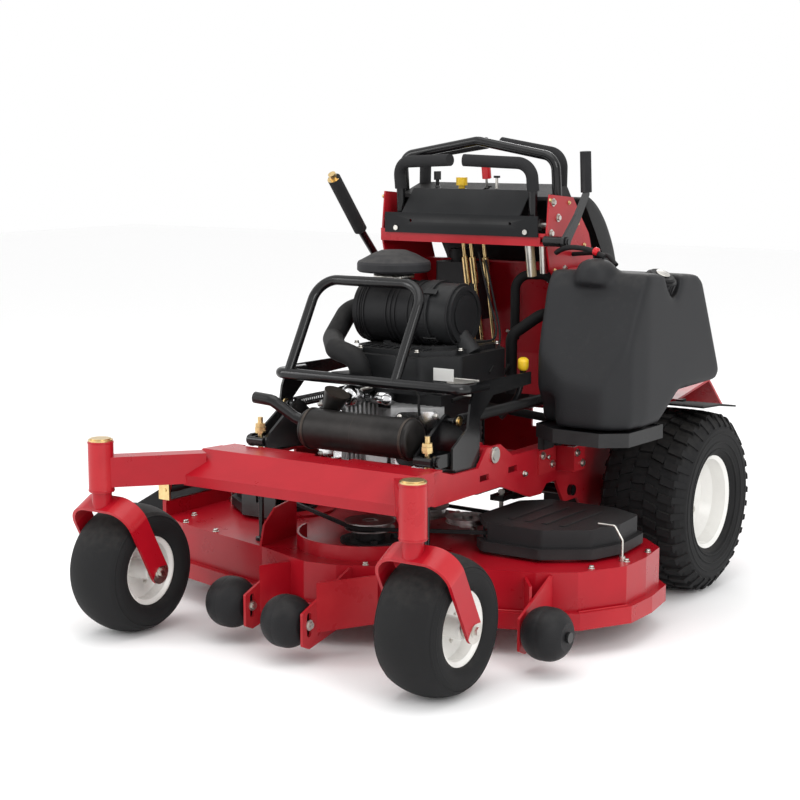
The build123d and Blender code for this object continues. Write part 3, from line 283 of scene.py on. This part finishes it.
for name, finish in {
        "transaxles": DARKCAST, "engine_pulley": STEEL, "blower_housing": SHROUD, "precleaner_cap": CAP,
        "engine_guard": BLACK, "tank_tray": SATIN, "battery": MOULDED, "deck_belt": RUBBER,
        "discharge_chute": RUBBER, "rear_lift_shaft": BLACK, "oil_reservoir": MOULDED,
        "fuel_cap": MOULDED, "ignition_key": MOULDED, "pto_knob": YELLOW, "deck_idler": STEEL,
        "control_console": MOULDED, "spindle_housings": DARKCAST, "operator_pad": VINYL, "front_frame": RED,
        "tower_frame": RED, "fuel_tank": TANK, "deck_shell": RED, "hoses": RUBBER}.items():
    paint(name, finish)
for word in ("left", "middle", "right"):
    paint("spindle_" + word, STEEL)
    paint("blade_" + word, STEEL)
    paint("anti_scalp_roller_" + word, MOULDED)
for word, side in SIDES:
    paint("caster_rim_" + word, WHITE)
    paint("caster_tyre_" + word, TYRE)
    paint("caster_fork_" + word, RED, ZINC, rule=fork_axle_end)
    paint("drive_rim_" + word, WHITE, ZINC, BLACK, rule=rim_part)
    paint("drive_tyre_" + word, TYRE)
    paint("motion_lever_" + word, FOAM, BLACK, rule=lambda x, y, z: z < 1111)
paint("engine_block", DARKCAST, ALLOY, CHROME, rule=engine_part)
paint("main_frame", RED, RUBBER, rule=lambda x, y, z: abs(x) > 500.5 and z > 480)
paint("tower_front_panel", SATIN, ZINC, rule=lambda x, y, z: y < 927.5)
paint("reference_bars", BLACK, FOAM, rule=lambda x, y, z: y > 1070)
paint("muffler", HEATED, BLACK, rule=lambda x, y, z: x < -116)
paint("platform", RED, MAT, ZINC, rule=platform_part)
paint("belt_covers", COVER, BLACK, rule=lambda x, y, z: x < 0 and y < 558)
paint("deck_hardware", ZINC, GOLD, BLACK, rule=deck_fitting)
paint("front_lift_cranks", BLACK, GOLD, rule=crank_pin)
paint("lift_lever", BLACK, FOAM, GOLD, rule=lift_lever_part)
paint("brake_lever", BLACK, FOAM, rule=brake_grip)
paint("throttle_lever", CHERRY, STEEL, rule=lambda x, y, z: z < 1135)
paint("choke_knob", MOULDED, ZINC, rule=lambda x, y, z: z < 1140)
paint("air_cleaner_canister", MOULDED, SHROUD, rule=lambda x, y, z: x > 60)
paint("chassis_hardware", ZINC, SPACER, BLACK, TAN, GOLD, rule=chassis_fitting)


# ------------------------------------------------------------------ piece helpers
BOX_SIDES = ((0, 2, 3, 1), (4, 5, 7, 6), (0, 1, 5, 4), (2, 6, 7, 3), (0, 4, 6, 2), (1, 3, 7, 5))
LUG_SIDES = ((0, 1, 3, 2), (4, 6, 7, 5), (0, 4, 5, 1), (2, 3, 7, 6), (0, 2, 6, 4), (1, 5, 7, 3))


def rounded(node, cell, passes):
    """Softens the edges of a moulded CAD node."""
    grid = NODES[node].modifiers.new("skin", "REMESH")
    grid.mode = "VOXEL"
    grid.voxel_size = cell / 1000
    grid.use_smooth_shade = True
    relax = NODES[node].modifiers.new("relax", "SMOOTH")
    relax.factor = 0.6
    relax.iterations = passes


def piece(name, bm, finish, body, smooth=True, bevel=0.0):
    """Makes a mesh piece that rides on a body; bevel is the width of its rounded edges in millimetres."""
    mesh = bpy.data.meshes.new(name)
    bm.normal_update()
    bm.to_mesh(mesh)
    bm.free()
    o = bpy.data.objects.new(name, mesh)
    scene.collection.objects.link(o)
    if bevel:
        edge = o.modifiers.new("edges", "BEVEL")
        edge.width = bevel / 1000
        edge.segments = 2
        edge.limit_method = "ANGLE"
    mesh.materials.append(finish)
    if smooth:
        mesh.polygons.foreach_set("use_smooth", [True] * len(mesh.polygons))
    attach(o, body)
    return o


def wire(name, points, radius, finish, body, smooth=True, closed=False):
    """Round line through design points, a smooth curve or straight runs."""
    curve = bpy.data.curves.new(name, "CURVE")
    curve.dimensions = "3D"
    curve.bevel_depth = radius / 1000
    curve.bevel_resolution = 3
    curve.use_fill_caps = True
    spline = curve.splines.new("NURBS" if smooth else "POLY")
    spline.points.add(len(points) - 1)
    for point, place in zip(spline.points, points):
        point.co = (*at(*place), 1)
    spline.use_cyclic_u = closed
    if smooth:
        spline.order_u = 3
        spline.use_endpoint_u = not closed
    curve.resolution_u = 10
    o = bpy.data.objects.new(name, curve)
    scene.collection.objects.link(o)
    curve.materials.append(finish)
    if body:
        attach(o, body)
    return o


def as_mesh(o):
    """Turns a curve piece into a mesh piece of the same name."""
    name = o.name
    mesh = bpy.data.meshes.new_from_object(o.evaluated_get(bpy.context.evaluated_depsgraph_get()))
    bpy.data.objects.remove(o)
    o = bpy.data.objects.new(name, mesh)
    scene.collection.objects.link(o)
    return o


def turned(bm, profile, centre, axis, steps=40, caps=True):
    """Adds a surface of revolution: profile of (along, radius) in millimetres about an axis at centre."""
    axis = Vector(axis).normalized()
    side = axis.orthogonal().normalized()
    other = axis.cross(side)
    rings = []
    for along, radius in profile:
        ring = []
        for i in range(steps):
            a = 2 * math.pi * i / steps
            offset = (side * math.cos(a) + other * math.sin(a)) * radius + axis * along
            ring.append(bm.verts.new(at(*(Vector(centre) + offset))))
        rings.append(ring)
    for low, high in zip(rings, rings[1:]):
        for i in range(steps):
            j = (i + 1) % steps
            bm.faces.new((low[i], low[j], high[j], high[i]))
    if caps:
        bm.faces.new(reversed(rings[0]))
        bm.faces.new(rings[-1])


def bead(bm, foot, top, radius, height, centre, axis=X_AXIS, steps=48):
    """Adds a raised ring: foot and top are its half widths, on a drum of that radius."""
    turned(bm, [(-foot, radius), (-top, radius + height), (top, radius + height), (foot, radius)],
           centre, axis, steps, caps=False)


def hexagon(bm, centre, axis, across, high):
    """Chamfered hexagon head with a flange, standing on centre along axis."""
    turned(bm, [(0, across * 0.72), (1.4, across * 0.72), (2.2, across * 0.6)], centre, axis, 24)
    turned(bm, [(2, across * 0.577), (high - 1.2, across * 0.577), (high, across * 0.5)], centre, axis, 6)


def cuboid(bm, x, y, z, turn=None):
    """Adds a box between the pairs x, y and z, turned by (pivot, axis, angle)."""
    corners = [bm.verts.new(at(i, j, k)) for k in z for j in y for i in x]
    for quad in BOX_SIDES:
        bm.faces.new([corners[i] for i in quad])
    if turn:
        pivot, axis, angle = turn
        bmesh.ops.rotate(bm, verts=corners, cent=at(*pivot), matrix=Matrix.Rotation(angle, 3, axis))


rounded("fuel_tank", 7, 26)


# ------------------------------------------------------------------ drive tyres
# Rows of lugs across the tread: lowest x, highest x, how far they lean, and their shift in pitches
LUG_ROWS = ((62, 103, 0.55, 0.0), (22, 58, 0.75, 0.5), (-18, 18, 0.0, 0.0),
            (-58, -22, -0.75, 0.5), (-103, -62, -0.55, 0.0))
LUGS_ROUND = 34
LUG_DEPTH = 11
HALF_CARCASS = [(94, 127.5), (106, 130), (116, 140), (123, 158), (126.5, 180), (126, 204), (118, 222),
                (106, 234), (88, 239.5), (50, 243), (0, 244)]
BEAD_SEAT = [(-76, 128), (76, 128), (94, 127.5)]


def lug(bm, places):
    """Adds one block of rubber from its 8 corners, each (x, radius, angle) about the drive axle."""
    corners = []
    for x, r, a in places:
        corners.append(bm.verts.new(at(x, DRIVE_Y + r * math.cos(a), DRIVE_Z + r * math.sin(a))))
    for quad in LUG_SIDES:
        bm.faces.new([corners[k] for k in quad])


def tread_lug(bm, wheel_x, row, i):
    """Adds the i-th lug of a row, on a crown that drops towards the shoulders."""
    low, high, lean, shift = row
    angle = 2 * math.pi * (i + shift) / LUGS_ROUND
    places = []
    for x, push in ((low, -lean), (high, lean)):
        crown = DRIVE_R - 6.6 * (abs(x) / 103) ** 3
        for r, half in ((crown - LUG_DEPTH, 11.5), (crown, 10)):
            for way in (-1, 1):
                places.append((wheel_x + x, r, angle + (way * half + push * 9) / 250))
    lug(bm, places)


def shoulder_bar(bm, wheel_x, flank, i):
    """Adds the i-th bar down the tyre's shoulder, on the side that flank gives."""
    angle = 2 * math.pi * i / LUGS_ROUND
    places = []
    for x, r in ((101, 246.5), (126.5, 214)):
        for lift in (-7, 0.8):
            for way in (-1, 1):
                places.append((wheel_x + flank * (x + lift * 0.55), r + lift * 0.7, angle + way * 9 / 250))
    lug(bm, places)


def drive_tyre(word, side):
    """Carcass with staggered turf lugs and shoulder bars, inside the CAD tyre's outline."""
    centre = (side * DRIVE_X, DRIVE_Y, DRIVE_Z)
    bm = bmesh.new()
    profile = HALF_CARCASS + [(-a, r) for a, r in reversed(HALF_CARCASS[:-1])]
    turned(bm, profile + BEAD_SEAT, centre, X_AXIS, 96, caps=False)
    for i in range(LUGS_ROUND):
        for row in LUG_ROWS:
            tread_lug(bm, centre[0], row, i)
        for flank in (-1, 1):
            shoulder_bar(bm, centre[0], flank, i)
    bmesh.ops.recalc_face_normals(bm, faces=bm.faces)
    tyre = piece("drive_tyre_" + word + "_treaded", bm, TYRE, "drive_wheel_" + word, smooth=False)
    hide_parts("drive_tyre_" + word)
    bm = bmesh.new()
    for radius, x in ((148, 121.2), (168, 126.2), (192, 127.2)):
        for flank in (-1, 1):
            turned(bm, [(flank * (x - 2), radius - 3), (flank * (x + 0.8), radius - 1.5),
                        (flank * (x + 0.8), radius + 1.5), (flank * (x - 2), radius + 3)],
                   centre, X_AXIS, 96, caps=False)
    piece("drive_tyre_" + word + "_rings", bm, TYRE, "drive_wheel_" + word)


# ------------------------------------------------------------------ casters
def caster_trim(word, side):
    """Moulded rings on the smooth tyre, bearing seals with rim bolts, and lips on the pivot tube."""
    x = side * CASTER_X
    axle = (x, CASTER_Y, CASTER_Z)
    bm = bmesh.new()
    for flank in (-1, 1):
        for radius, out in ((96, 66), (112, 79.6), (128, 80.4), (141, 76)):
            turned(bm, [(flank * (out - 2.5), radius - 2.5), (flank * (out + 0.6), radius - 1),
                        (flank * (out + 0.6), radius + 1), (flank * (out - 2.5), radius + 2.5)],
                   axle, X_AXIS, 72, caps=False)
    piece("caster_tyre_rings_" + word, bm, TYRE, "caster_wheel_" + word)
    bm = bmesh.new()
    circle = 55
    for flank in (-1, 1):
        turned(bm, [(flank * 71, 23), (flank * 75.8, 21), (flank * 75.8, 14)], axle, X_AXIS, 40, caps=False)
        for i in range(5):
            a = 2 * math.pi * i / 5 + 0.3
            foot = (x + flank * 14, CASTER_Y + circle * math.cos(a), CASTER_Z + circle * math.sin(a))
            hexagon(bm, foot, (flank, 0, 0), 10, 6)
    piece("caster_bearing_seals_" + word, bm, ZINC, "caster_wheel_" + word)
    bm = bmesh.new()
    for z in (384, 504):
        turned(bm, [(-2.5, 31.6), (0, 33.4), (2.5, 31.6)], (x, 0, z), Z_AXIS, 48, caps=False)
    piece("pivot_tube_lips_" + word, bm, RED, "chassis")


# ------------------------------------------------------------------ operator pad
# Side outlines, (y, z): the cushion from its top round its outer face and back, and its backing board
CUSHION = [(1146, 1082), (1172, 1096), (1205, 1084), (1242, 1062), (1282, 1026), (1308, 993),
           (1330, 960), (1347, 926), (1360, 890), (1372, 826), (1388, 760), (1386, 712), (1384, 664),
           (1362, 654), (1340, 652), (1331, 705), (1322, 760), (1307, 820), (1292, 880), (1266, 930),
           (1232, 984), (1190, 1034)]
LAST_OUTER = 11
CHANNELS = (1010, 820)
BOARD = [(1131, 1078), (1145, 1082), (1231, 984), (1291, 880), (1321, 760), (1339, 652),
         (1326, 650), (1308, 756), (1279, 872), (1221, 974)]


def skinned(bm, rings):
    """Closed surface through rings of points, with flat ends."""
    for a, b in zip(rings, rings[1:]):
        for i in range(len(a)):
            j = (i + 1) % len(a)
            bm.faces.new((a[i], a[j], b[j], b[i]))
    bm.faces.new(rings[0])
    bm.faces.new(reversed(rings[-1]))
    bmesh.ops.recalc_face_normals(bm, faces=bm.faces)


def cushion_ring(bm, u):
    """One cross-section of the cushion, at u from -1 to 1 across it: thinner and lower towards its ends."""
    half_width = 266
    x = half_width * math.copysign(1 - (1 - abs(u)) ** 1.4, u)
    fade = (1 - abs(u) ** 8) ** 0.5
    ring = []
    for index, (y, z) in enumerate(CUSHION):
        if 1 <= index <= LAST_OUTER:
            sewn = sum(2.2 * math.exp(-((z - channel) / 7) ** 2) for channel in CHANNELS)
            crown = Vector((y + 4.0 * fade - 3 - sewn, z - 2.5))
            inner = Vector((y - 30, z - 24 if z > 900 else z))
            y, z = inner.lerp(crown, 0.94 + 0.06 * fade)
        ring.append(bm.verts.new(at(x, y, z)))
    return ring


def operator_pad():
    """Crowned cushion with sewn channels and piped edges on its backing board."""
    stations = 32
    bm = bmesh.new()
    skinned(bm, [cushion_ring(bm, -1 + 2 * k / stations) for k in range(stations + 1)])
    pad = piece("operator_pad_cushion", bm, VINYL, "chassis")
    soft = pad.modifiers.new("crown", "SUBSURF")
    soft.levels = 2
    soft.render_levels = 2
    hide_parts("operator_pad")
    for word, side in reversed(SIDES):
        edge = [(side * 258, y + (1 if i <= LAST_OUTER else 3), z - 3) for i, (y, z) in enumerate(CUSHION)]
        wire("operator_pad_piping_" + word, edge[1:LAST_OUTER + 2], 2.6, VINYL, "chassis")
    bm = bmesh.new()
    skinned(bm, [[bm.verts.new(at(x, y, z)) for y, z in BOARD] for x in (-240, 240)])
    piece("operator_pad_board", bm, MOULDED, "chassis", smooth=False)


# ------------------------------------------------------------------ springs, clamps and wiring
def lift_spring(word, side):
    """Close-wound coil that stretches between the front crank and its anchor, with a hook at each end."""
    x = side * SPRING_X
    coil_r, wire_r, turns, steps = 12.6, 2.2, 46, 14
    start, length = 524, 424
    coil = []
    for i in range(turns * steps + 1):
        a = 2 * math.pi * i / steps
        y = start + length * i / (turns * steps)
        coil.append((x + coil_r * math.cos(a), y, SPRING_Z + coil_r * math.sin(a)))
    spring = as_mesh(wire("lift_spring_coil_" + word, coil, wire_r, BLACK, None, smooth=False))
    hook = [(x + coil_r, start, SPRING_Z), (x + 9, 516, SPRING_Z), (x, 512, SPRING_Z),
            (x, 504, SPRING_Z + 7), (x, 493, SPRING_Z + 7), (x, 489, SPRING_Z), (x, 493, SPRING_Z - 7),
            (x, 502, SPRING_Z - 7)]
    wire("lift_spring_hook_" + word, hook, wire_r, BLACK, "front_cranks")
    tail = [(x + coil_r, start + length, SPRING_Z), (x + 6, 956, SPRING_Z), (x, 966, SPRING_Z)]
    wire("lift_spring_tail_" + word, tail, wire_r, BLACK, "chassis")
    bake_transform(spring)
    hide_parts("lift_springs")


def intake_hose_clamps():
    """Two worm clamps at each end of the intake hose."""
    bm = bmesh.new()
    for centre, axis, radius in (((-190, CANISTER_Y, CANISTER_Z), X_AXIS, 33.5),
                                 ((-46, 538, 622), (0, 0.2, -1), 30.5)):
        for along in (-5, 5):
            turned(bm, [(along - 4, radius - 1.5), (along - 3.5, radius + 0.8), (along + 3.5, radius + 0.8),
                        (along + 4, radius - 1.5)], centre, axis, 40, caps=False)
    piece("intake_hose_clamps", bm, ZINC, "chassis")


def engine_wiring():
    """Spark plug leads, harness, and the cables of throttle and choke."""
    for name, radius, *route in (
            ("spark_lead_left", 3.6, (150, 506, 560), (150, 500, 590), (128, 540, 604), (90, 566, 612)),
            ("spark_lead_right", 3.6, (-150, 506, 560), (-152, 500, 590), (-126, 540, 604), (-84, 566, 612)),
            ("engine_harness", 6, (188, 600, 588), (196, 660, 596), (192, 760, 600), (170, 860, 604),
             (150, 952, 640)),
            ("throttle_cable", 3, (24, 992, 940), (70, 960, 840), (150, 900, 716), (150, 800, 716),
             (132, 700, 722)),
            ("choke_cable", 3, (44, 992, 930), (90, 960, 830), (168, 890, 690), (190, 780, 640))):
        wire(name, route, radius, RUBBER, "chassis")


# ------------------------------------------------------------------ engine detail
def rocker_cover_bolts():
    """Four bolts on the cover of each cylinder."""
    bank_angle, cover_out = 34, 258
    bm = bmesh.new()
    for side in (-1, 1):
        turn = math.radians(bank_angle * side)
        out = Vector((math.sin(turn), -math.cos(turn), 0))
        across = Vector((math.cos(turn), math.sin(turn), 0))
        base = Vector((0, ENGINE_Y, 0)) + out * cover_out
        for u, z in ((-46, 424), (46, 424), (-46, 556), (46, 556)):
            spot = base + across * u
            hexagon(bm, (spot.x, spot.y, z), out, 9, 6)
    piece("rocker_cover_bolts", bm, ZINC, "chassis")


def shroud_trim():
    """Ribs, ring of grille fins, bolts, blank data plate and bracket on the blower housing."""
    top = 709
    bm = bmesh.new()
    for i in range(9):
        x = -94 + i * 23
        cuboid(bm, (x, x + 9), (600, 640), (top, top + 3.5))
    grille_x, grille_y = 20, 740
    for i in range(22):
        cuboid(bm, (grille_x + 99, grille_x + 117), (grille_y - 1.4, grille_y + 1.4), (715.5, 718.5),
               ((grille_x, grille_y, 716), "Z", 2 * math.pi * i / 22))
    piece("shroud_grille_fins", bm, SHROUD, "chassis", smooth=False)
    bm = bmesh.new()
    for x, y in ((-78, 572), (98, 572), (-150, 655), (170, 668), (170, 850), (-150, 850)):
        hexagon(bm, (x, y, top), Z_AXIS, 10, 7)
    piece("shroud_bolts", bm, ZINC, "chassis")
    bm = bmesh.new()
    cuboid(bm, (158, 218), (556.8, 559.6), (644, 676))
    piece("blank_plate_shroud", bm, PALE, "chassis", smooth=False, bevel=0.4)
    bm = bmesh.new()
    cuboid(bm, (196, 292), (559.5, 562.5), (610, 655))
    piece("shroud_bracket", bm, ZINC, "chassis", smooth=False, bevel=2)


def dipstick():
    """Yellow cap on the oil filler tube."""
    bm = bmesh.new()
    turned(bm, [(0, 12), (6, 14), (26, 14), (30, 10)], (280, 800, 655), (0.2, -0.3, 1), 24)
    piece("dipstick_cap", bm, YELLOW, "chassis")
    tube = [(281, 799, 658), (274, 804, 610), (250, 806, 560), (214, 800, 520)]
    wire("dipstick_tube", tube, 8, BLACK, "chassis")


def engine_front():
    """Carburettor bowl and manifold pipes between the cylinders, and the end of the starter."""
    bm = bmesh.new()
    turned(bm, [(0, 26), (6, 28), (34, 28), (40, 22), (46, 10)], (-52, 520, 592), (-0.2, -1, 0.1), 28)
    turned(bm, [(0, 15), (40, 15), (44, 11)], (40, 540, 588), (0.3, -1, 0.1), 24)
    turned(bm, [(0, 17), (70, 17)], (-40, 552, 586), X_AXIS, 24)
    piece("intake_manifold", bm, CHROME, "chassis")
    bm = bmesh.new()
    turned(bm, [(0, 30), (52, 30), (56, 26)], (140, 470, 470), (0.5, -0.85, 0), 32)
    piece("starter_end", bm, DARKCAST, "chassis")


def canister_trim():
    """Stiffening beads round the air cleaner and four latches over its seam."""
    bm = bmesh.new()
    for x in (-150, -136):
        bead(bm, 2, 1, 85.5, 2.1, (x, CANISTER_Y, CANISTER_Z), steps=56)
    bead(bm, 2.5, 1, 82, 6.6, (66, CANISTER_Y, CANISTER_Z), steps=56)
    bead(bm, 2.5, 1, 82, 1.4, (130, CANISTER_Y, CANISTER_Z), steps=56)
    piece("canister_beads", bm, MOULDED, "chassis")
    bm = bmesh.new()
    seam = 72
    for i in range(4):
        cuboid(bm, (seam - 20, seam + 20), (CANISTER_Y - 8, CANISTER_Y + 8),
               (CANISTER_Z + CANISTER_R, CANISTER_Z + CANISTER_R + 7),
               ((seam, CANISTER_Y, CANISTER_Z), "X", math.radians(45 + 90 * i)))
    piece("canister_latches", bm, BLACK, "chassis", smooth=False, bevel=1)


def precleaner_trim():
    """Swirl vanes under the rim of the pre-cleaner and the clamp on its neck."""
    bm = bmesh.new()
    for i in range(10):
        cuboid(bm, (PRECLEANER_X + 20, PRECLEANER_X + 92), (CANISTER_Y - 2, CANISTER_Y + 2),
               (PRECLEANER_Z + 5, PRECLEANER_Z + 25),
               ((PRECLEANER_X, CANISTER_Y, PRECLEANER_Z), "Z", 2 * math.pi * i / 10))
    piece("precleaner_vanes", bm, CAP, "chassis", smooth=False)
    bm = bmesh.new()
    clamp_z = PRECLEANER_Z - 14
    bead(bm, 6, 5, 50.6, 4.2, (PRECLEANER_X, CANISTER_Y, clamp_z), Z_AXIS)
    turned(bm, [(0, 3.5), (26, 3.5)], (PRECLEANER_X + 34, CANISTER_Y - 54, clamp_z), X_AXIS, 12)
    piece("precleaner_clamp", bm, ZINC, "chassis")


def muffler_seams():
    """Rolled ends of the muffler's shell and the seam between its halves."""
    bm = bmesh.new()
    for x in (-96, 202):
        bead(bm, 4, 3, MUFFLER_R + 0.2, 2.4, (x, MUFFLER_Y, MUFFLER_Z))
    turned(bm, [(-1, MUFFLER_R), (0, MUFFLER_R + 0.6), (1, MUFFLER_R)], (53, MUFFLER_Y, MUFFLER_Z),
           X_AXIS, 48, caps=False)
    piece("muffler_seams", bm, HEATED, "chassis")


# ------------------------------------------------------------------ tower and tank detail
def tower_trim():
    """Screws in the side plates and rear wall, and bezels under the key, blade switch and choke."""
    bm = bmesh.new()
    for side in (-1, 1):
        for y, z in ((955, 1088), (1060, 1078), (1110, 1020), (1150, 960), (985, 900), (1250, 600)):
            hexagon(bm, (side * 267.2, y, z), (side, 0, 0), 8, 5)
        for y, z in ((1020, 890), (1190, 880), (1270, 660)):
            hexagon(bm, (side * 301.2, y, z), (side, 0, 0), 8, 5)
    piece("tower_screws", bm, GOLD, "chassis")
    bm = bmesh.new()
    turned(bm, [(0, 11), (3, 11), (3, 8), (10, 8), (11, 6)], (-143, CONSOLE_Y, CONSOLE_Z + 0.5), Z_AXIS, 28)
    turned(bm, [(0, 17), (3, 17), (4, 12)], (-62, CONSOLE_Y, CONSOLE_Z), Z_AXIS, 28)
    turned(bm, [(0, 9), (4, 9), (5, 6)], (52, CONSOLE_Y, CONSOLE_Z), Z_AXIS, 24)
    piece("control_bezels", bm, BLACK, "chassis")
    bm = bmesh.new()
    for x in (-210, -120, 0, 120, 210):
        hexagon(bm, (x, 1195, 700), (0, -1, 0), 9, 5)
    piece("tower_wall_bolts", bm, ZINC, "chassis")


def tank_vent():
    """Vent hose from the tower to the top of the tank, with its clip."""
    route = [(300, 935, 952), (330, 912, 966), (380, 890, 972), (440, 880, 966), (470, 880, 950)]
    wire("tank_vent_hose", route, 7, RUBBER, "chassis")
    bm = bmesh.new()
    turned(bm, [(0, 9), (3, 10.5), (12, 10.5), (14, 8)], route[3], (1, 0, -0.4), 20)
    piece("tank_vent_clip", bm, CHERRY, "chassis")


def fuel_cap_trim():
    """Finger ribs, a crown and a blank disc on the fuel cap."""
    axis = Vector((0.42, -0.12, 0.9)).normalized()
    base = Vector((548, 1032, 862))
    side = axis.orthogonal().normalized()
    other = axis.cross(side)
    bm = bmesh.new()
    turned(bm, [(40.2, 33), (42.5, 30), (42.5, 12), (45.5, 9)], base, axis, 40)
    ribs = 30
    for i in range(ribs):
        a = 2 * math.pi * i / ribs
        foot = base + (side * math.cos(a) + other * math.sin(a)) * 41.2 + axis * 5
        turned(bm, [(0, 1.5), (26, 1.5)], foot, axis, 6)
    piece("fuel_cap_ribs", bm, MOULDED, "tank_cap", smooth=False)
    bm = bmesh.new()
    turned(bm, [(45.4, 19), (46.6, 19), (47.2, 17)], base, axis, 40)
    piece("fuel_cap_disc", bm, ZINC, "tank_cap")


# ------------------------------------------------------------------ deck, frame and platform detail
def deck_bolts():
    """Bolts on the deck's top plate."""
    plate_top = 209
    bm = bmesh.new()
    for x, y in ((-560, 420), (-420, 380), (120, 310), (300, 404), (600, 590), (640, 700), (640, 820),
                 (-600, 500), (-600, 860), (520, 940), (0, 930), (-420, 930)):
        hexagon(bm, (x, y, plate_top), Z_AXIS, 12, 8)
    piece("deck_top_bolts", bm, ZINC, "cutting_deck")


def rail_bolts():
    """Bolts on the outside of the frame rails."""
    bm = bmesh.new()
    for side in (-1, 1):
        for y, z in ((760, 386), (880, 412)):
            hexagon(bm, (side * 310.2, y, z), (side, 0, 0), 12, 8)
    piece("rail_bolts", bm, ZINC, "chassis")


def band_welds():
    """Weld beads where the deck's lower band meets its shell."""
    band_top = 112
    seams = (((-215, 309), (-40, 249)), ((70, 262), (390, 427)),
             ((400, 430), (508, 470)), ((598, 530), (668, 655)))
    for index, ends in enumerate(seams):
        run = [(x, y, band_top) for x, y in ends]
        wire("deck_band_weld_%d" % index, run, 2.4, RED, "cutting_deck", smooth=False)


def cover_ribs():
    """Raised ribs on the left belt cover."""
    bm = bmesh.new()
    for x in (330, 380, 430, 480):
        cuboid(bm, (x, x + 16), (640, 850), (290, 292.4))
    piece("cover_ribs_left", bm, COVER, "cutting_deck", smooth=False, bevel=0.8)


def crank_snap_ring(word, side):
    """Ring that keeps a front crank on its pivot."""
    ring = []
    for a in range(12):
        ring.append((side * 316.6, CRANK_Y + 12 * math.cos(a / 2), CRANK_Z + 12 * math.sin(a / 2)))
    wire("crank_snap_ring_" + word, ring, 1.4, STEEL, "chassis", closed=True)


def platform_mat():
    """Ribs across the rubber mat."""
    bm = bmesh.new()
    for i in range(13):
        y = 1630 + i * 20
        cuboid(bm, (-262, 262), (y, y + 8), (201.5, 205.5))
    piece("platform_mat_ribs", bm, MAT, "operator_platform", smooth=False, bevel=0.8)


for word, side in SIDES:
    drive_tyre(word, side)
for word, side in SIDES:
    caster_trim(word, side)
operator_pad()
for word, side in SIDES:
    lift_spring(word, side)
intake_hose_clamps()
engine_wiring()
rocker_cover_bolts()
shroud_trim()
dipstick()
engine_front()
canister_trim()
precleaner_trim()
muffler_seams()
tower_trim()
tank_vent()
fuel_cap_trim()
deck_bolts()
rail_bolts()
band_welds()
cover_ribs()
for word, side in SIDES:
    crank_snap_ring(word, side)
platform_mat()


# ------------------------------------------------------------------ floor, light and camera
def studio_floor(half):
    """Pale square floor that reaches half metres each way."""
    bm = bmesh.new()
    corners = ((-half, -half), (half, -half), (half, half), (-half, half))
    bm.faces.new([bm.verts.new(Vector((x, y, 0))) for x, y in corners])
    mesh = bpy.data.meshes.new("floor")
    bm.to_mesh(mesh)
    bm.free()
    floor = bpy.data.objects.new("floor", mesh)
    scene.collection.objects.link(floor)
    mesh.materials.append(material("studio_floor", (0.97, 0.97, 0.97), 0.8, grain=(60, 0.01), tint=0.005))


def studio_world():
    """Plain white surroundings."""
    world = bpy.data.worlds.new("studio")
    scene.world = world
    world.use_nodes = True
    backdrop = world.node_tree.nodes["Background"]
    backdrop.inputs["Color"].default_value = (1, 1, 1, 1)
    backdrop.inputs["Strength"].default_value = 1.0


def lamp(name, place, target, size, power):
    """Soft rectangular lamp at place, turned towards target, in metres."""
    data = bpy.data.lights.new(name, "AREA")
    data.shape = "RECTANGLE"
    data.size, data.size_y = size
    data.energy = power
    o = bpy.data.objects.new(name, data)
    o.location = place
    o.rotation_euler = (Vector(target) - Vector(place)).to_track_quat("-Z", "Y").to_euler()
    scene.collection.objects.link(o)


def camera(place, heading, dip, lens):
    """Camera at a design point, looking along +y, then turned heading degrees left and dip degrees down."""
    data = bpy.data.cameras.new("camera")
    data.lens = lens
    data.sensor_width = 36
    o = bpy.data.objects.new("camera", data)
    scene.collection.objects.link(o)
    turn, tip = math.radians(heading), math.radians(dip)
    look = Vector((-math.sin(turn) * math.cos(tip), math.cos(turn) * math.cos(tip), -math.sin(tip)))
    o.location = at(*place)
    o.rotation_euler = look.to_track_quat("-Z", "Y").to_euler()
    scene.camera = o


studio_floor(14)
studio_world()
lamp("top_bank", (0.5, -0.8, 4.2), (0, 0, 0.4), (3.4, 3.4), 55)
lamp("key_bank", (4.2, -2.4, 2.6), (0, 0, 0.5), (1.6, 2.6), 70)
lamp("left_strip", (-3.2, -3.4, 2.2), (0, 0, 0.5), (0.9, 2.6), 45)
lamp("rear_rim", (-1.5, 4.0, 3.0), (0, 0, 0.7), (2.0, 1.4), 30)
camera((2520.7, -3089.0, 1265.7), 34.06, 8.8, 77.75)
scene.view_settings.view_transform = "Standard"
